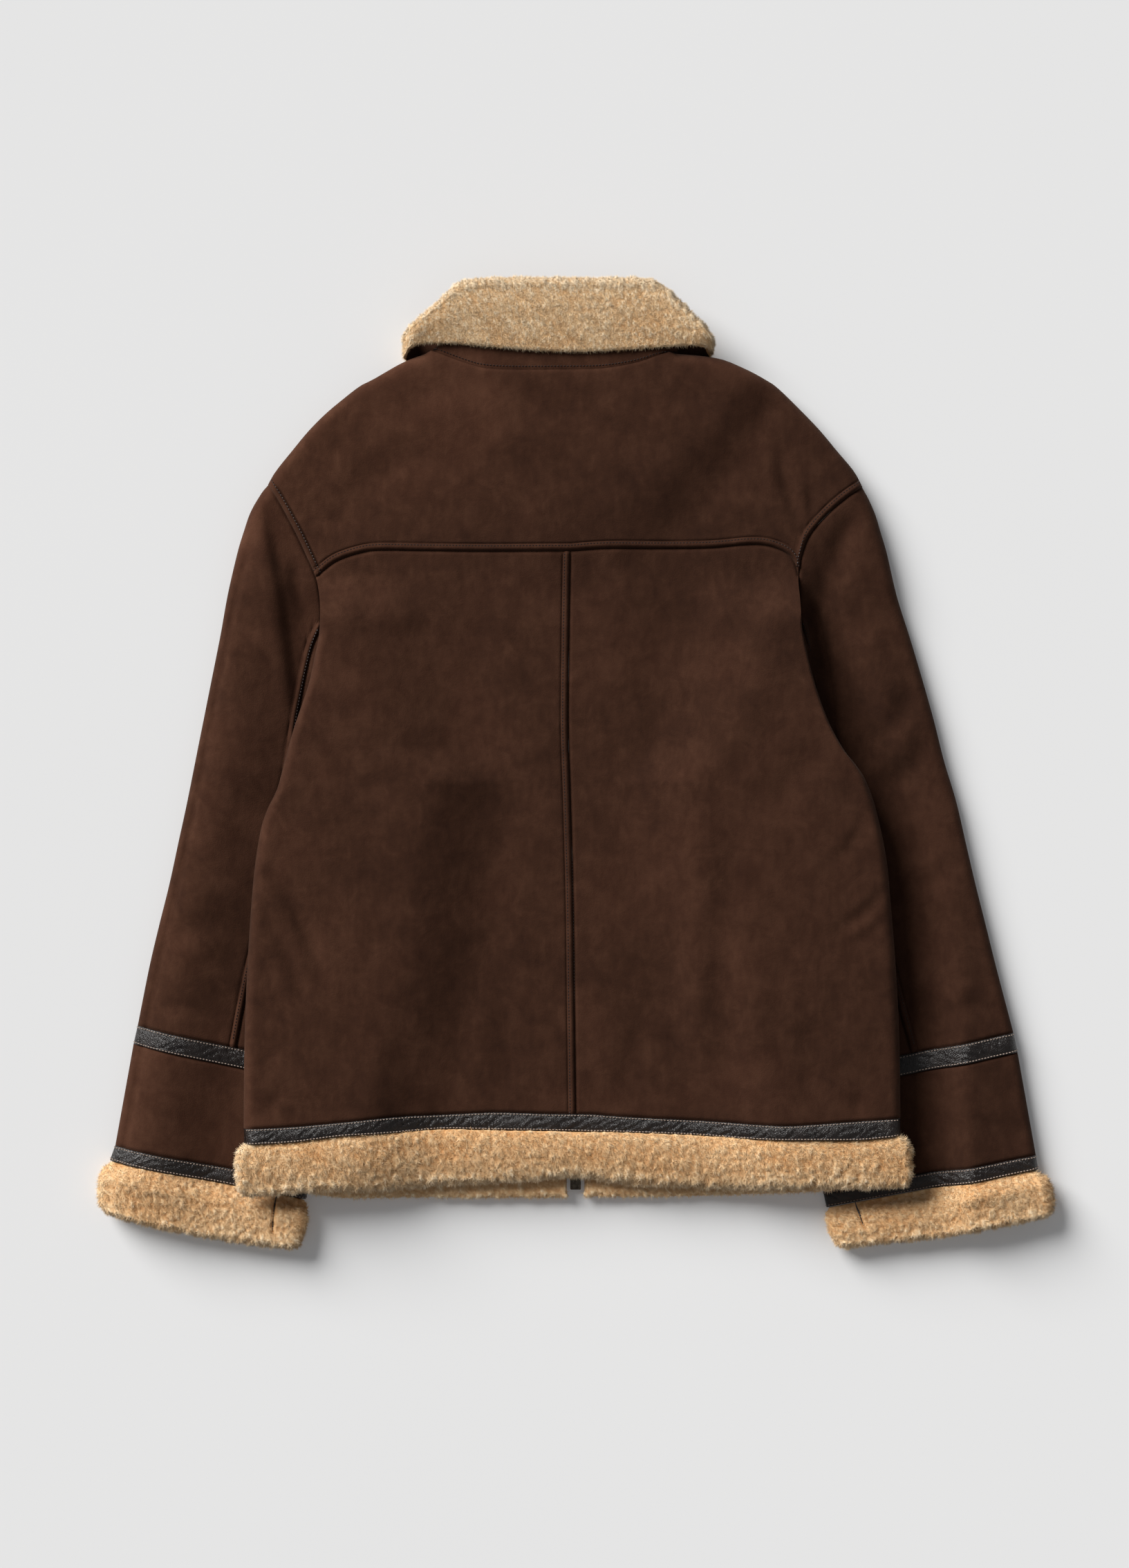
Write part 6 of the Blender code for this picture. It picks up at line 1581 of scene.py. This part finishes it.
def make_collar():
    """Stand, sewn round the neck, and fall, folded down over it with the fleece outside.

    The fall's leather is a thin wall of its own under the fleece, which stops short of its edge by a
    lip. The fall gets thinner, and its top lower, from part of the way down to its edge.
    """
    folds = smooth(FRONT_FALL_FOLDS["left"]), smooth(FALL_FOLD), smooth(FRONT_FALL_FOLDS["right"])
    edges = smooth(FRONT_FALL_EDGES["left"]), smooth(FALL_EDGE), smooth(FRONT_FALL_EDGES["right"])
    patches = [sided(*lines) for lines in zip(folds, edges)]
    depth = np.ptp([line[len(line) // 2, 1] for line in (folds[1], edges[1])])

    def wall_at(v):
        """Thickness down the fall: even, then less by a power of the share down."""
        thinned = np.clip((v - FALL_THINS_FROM) / (1 - FALL_THINS_FROM), 0, 1) ** 1.3
        return FALL_WALL - (FALL_WALL - FALL_EDGE_WALL) * thinned

    def high_at(v):
        """Height of the fall's upper skin: that of an even wall, less what the wall has lost."""
        return FALL_HEIGHT_FOLD + (FALL_HEIGHT_EDGE - FALL_HEIGHT_FOLD) * v - FALL_WALL + wall_at(v)

    kept = 1 - (FALL_LIP + FOLD_IN) / depth
    v = spread(depth, RIM_STOPS, RIM_STOPS, FLEECE_STEP) * kept + FOLD_IN / depth
    run = (v - v[0]) * depth
    share = np.minimum(rim(run), rim(run[-1] - run, FALL_EDGE_RADIUS))
    reaches = 0.0, wall_at(v) - FALL_LEATHER - FALL_LEATHER_SPACE
    skin, under = collar_ring(patches, v, 0 * v, high_at(v), reaches, share, (60, 210), True)
    shown = 0.08 + 0.92 * ramp(skin[..., 2], 0.004, 0.014)
    curly = 0.42 + 0.3 * ramp(skin[..., 0], -0.06, 0.04)
    fleece("collar_fleece", "collar_fall", skin, under, COLLAR_FIBRES, 151, run[:, None],
           size=0.82, weight=shown, curly=curly, pale=0.26)

    v = np.concatenate([np.linspace(0.10, 0.78, 9), np.linspace(0.80, 0.96, 9), [0.975, 0.988, 0.995, 1.0]])
    reaches, share = (wall_at(v) - FALL_LEATHER, wall_at(v)), np.where(v > 0.99, 0.55, 1.0)
    skin, under = collar_ring(patches, v, 0 * v, high_at(v), reaches, share, (30, 110), True)
    # The fall's leather takes the darkened copy of the suede: painted shade.
    leather = add_piece("collar_fall_suede", *wall(skin, under, coarse=1), PAINTED_SHADE_SUEDE)
    cut(skin)

    def narrowed(line):
        """The fall's fold drawn in towards the collar's middle, where the stand ends below it."""
        x = COLLAR_MIDDLE_X + (line[:, 0] - COLLAR_MIDDLE_X) * STAND_NARROWING
        return np.stack([x, line[:, 1] - STAND_TUCK], axis=1)

    necks = smooth(LEFT_FRONT_NECK), smooth(BACK_NECK), smooth(RIGHT_FRONT_NECK)
    patches = [sided(narrowed(fold), neck) for fold, neck in zip(folds, necks)]
    v = spread(depth, (0.0, 0.001, 0.003, 0.006), PLAIN_STOPS, PANEL_STEP)
    share = rounded(v * depth)
    high = STAND_FLOOR + STAND_HEIGHT_FOLD + (STAND_HEIGHT_NECK - STAND_HEIGHT_FOLD) * v
    skin, under = collar_ring(patches, v * (1 - SEAM_GAP / depth), np.full_like(v, STAND_FLOOR), high,
                              (0.0, STAND_WALL), share, (40, 110), False)
    to_neck = (1 - v) * depth
    dip = STAND_STITCH_DIP[0] * bell(to_neck - STAND_STITCH_IN, STAND_STITCH_DIP[1])
    groove = NECK_GROOVE * plain(to_neck)[0] - dip
    skin[..., 2] += groove[:, None] * ramp(skin[..., 2], 0.020, 0.026)
    row = beside(skin, normals_of(skin, under), STAND_STITCH_IN, "foot")
    sewing = stitches("collar_stand_stitches", [row])
    cloth("collar_stand_suede", skin, under, SUEDE, "collar_stand")


# Zip

def zip_height(y):
    """Rise of the zip, which follows the fronts where the collar lifts them."""
    return STAND_FLOOR * collar_lift(np.zeros_like(y), y)


def make_tape(side):
    """Woven tape along a front's edge: a strip whose low face is a cosine across, with three ribs."""
    sign = -1 if side == "left" else 1
    x, y = np.meshgrid(sign * np.linspace(*TAPE_X, 9), np.linspace(ZIP_BOTTOM_Y, ZIP_TOP_Y, 240))
    rib = TAPE_RIB * np.cos(np.linspace(0, 6 * np.pi, 9))[None, :]
    skin = np.dstack([x, y, zip_height(y) + TAPE_Z[0] - rib])
    under = np.dstack([x, y, zip_height(y) + TAPE_Z[1]])
    tape = add_piece("zip_tape_" + side + "_woven", *wall(skin, under, coarse=2), TAPE)
    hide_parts("zip_tape_" + side)
    return tape


def make_zip():
    """Interlocked teeth, which come in turn from the left tape and the right.

    Each is a four-sided bar across the zip with four stations, thin at its waist and thick at its
    head. Its half sizes along y and z are shares of half the pitch and of the tape's height.
    """
    y = np.arange(ZIP_BOTTOM_Y + 0.001, TEETH_TOP_Y - TEETH_PITCH, TEETH_PITCH / 2)
    sign = np.where(np.arange(len(y)) % 2 == 0, -1.0, 1.0)
    along_x = np.array([-0.35, -0.20, 0.55, 1.0]) * TEETH_HALF
    half_y = np.array([0.55, 0.42, 0.50, 0.62]) * TEETH_PITCH / 2
    half_z = np.array([0.28, 0.40, 0.40, 0.32]) * (TEETH_Z[1] - TEETH_Z[0])
    corner = np.array([(-1, -1), (1, -1), (1, 1), (-1, 1)])
    px = sign[:, None, None] * along_x[None, :, None] + 0 * corner[:, 0]
    py = y[:, None, None] + half_y[None, :, None] * corner[:, 0]
    pz = zip_height(y)[:, None, None] + sum(TEETH_Z) / 2 + half_z[None, :, None] * corner[:, 1]
    points = np.stack([px, py, pz], axis=-1)
    points[sign < 0] = points[sign < 0][:, :, ::-1]
    a, b = np.arange(4), (np.arange(4) + 1) % 4
    around = [np.stack([k + a, k + b, k + 4 + b, k + 4 + a], 1) for k in (0, 4, 8)]
    faces = np.concatenate([*around, [[3, 2, 1, 0], [12, 13, 14, 15]]])
    first = (np.arange(len(y)) * 16)[:, None, None]
    teeth = add_piece("zip_teeth_row", points.reshape(-1, 3), [(faces + first).reshape(-1, 4)], METAL)
    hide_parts("zip_teeth")


for name in ("zip_box", "zip_slider", "zip_tab"):
    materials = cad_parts[name].data.materials
    materials.clear()
    materials.append(METAL.material)

make_yoke()
make_back_hem()
make_collar()
make_zip()
for wearer_side in ("left", "right"):
    make_back(wearer_side)
    make_front(wearer_side)
    make_front_hem(wearer_side)
    make_sleeve(wearer_side)


# Stage, light and camera

def stage_finish():
    """Pale floor with a faint glow of its own, as a light table has."""
    f = Finish("pale_floor", "stage", 0.9, Specular_IOR_Level=0.1, Emission_Color=(1.0, 1.0, 1.0, 1.0),
               Emission_Strength=0.060)
    f.set(Base_Color=f.colours(f.noise(2.0, 1.0), (0.0, (0.697, 0.700, 0.705)), (1.0, (0.709, 0.712, 0.717))))
    return f


FLOOR_HALF = 6.0
FLOOR_Z = -0.0004
floor_mesh = bpy.data.meshes.new("floor")
floor_corners = [(x * FLOOR_HALF, y * FLOOR_HALF, FLOOR_Z) for x, y in ((-1, -1), (1, -1), (1, 1), (-1, 1))]
floor_mesh.from_pydata(floor_corners, [], [(0, 1, 2, 3)])
floor_mesh.materials.append(stage_finish().material)
floor = bpy.data.objects.new("floor", floor_mesh)
bpy.context.scene.collection.objects.link(floor)

bpy.context.scene.view_settings.view_transform = "Standard"
world = bpy.data.worlds.new("studio")
world.use_nodes = True
world.node_tree.nodes["Background"].inputs["Color"].default_value = (0.97, 0.98, 1.0, 1.0)
world.node_tree.nodes["Background"].inputs["Strength"].default_value = 0.20
bpy.context.scene.world = world

key_data = bpy.data.lights.new("key", "SUN")
key_data.energy = 5.25
key_data.angle = np.radians(36)
key_data.color = (1.0, 0.99, 0.975)
key = bpy.data.objects.new("key", key_data)
key.rotation_euler = (np.radians(60), 0.0, np.radians(225))
bpy.context.scene.collection.objects.link(key)

camera_data = bpy.data.cameras.new("camera")
camera_data.lens = 75.0
camera_data.sensor_width = 36.0
camera = bpy.data.objects.new("camera", camera_data)
camera.location = (-0.00935, -0.0144, 2.775)
bpy.context.scene.collection.objects.link(camera)
bpy.context.scene.camera = camera
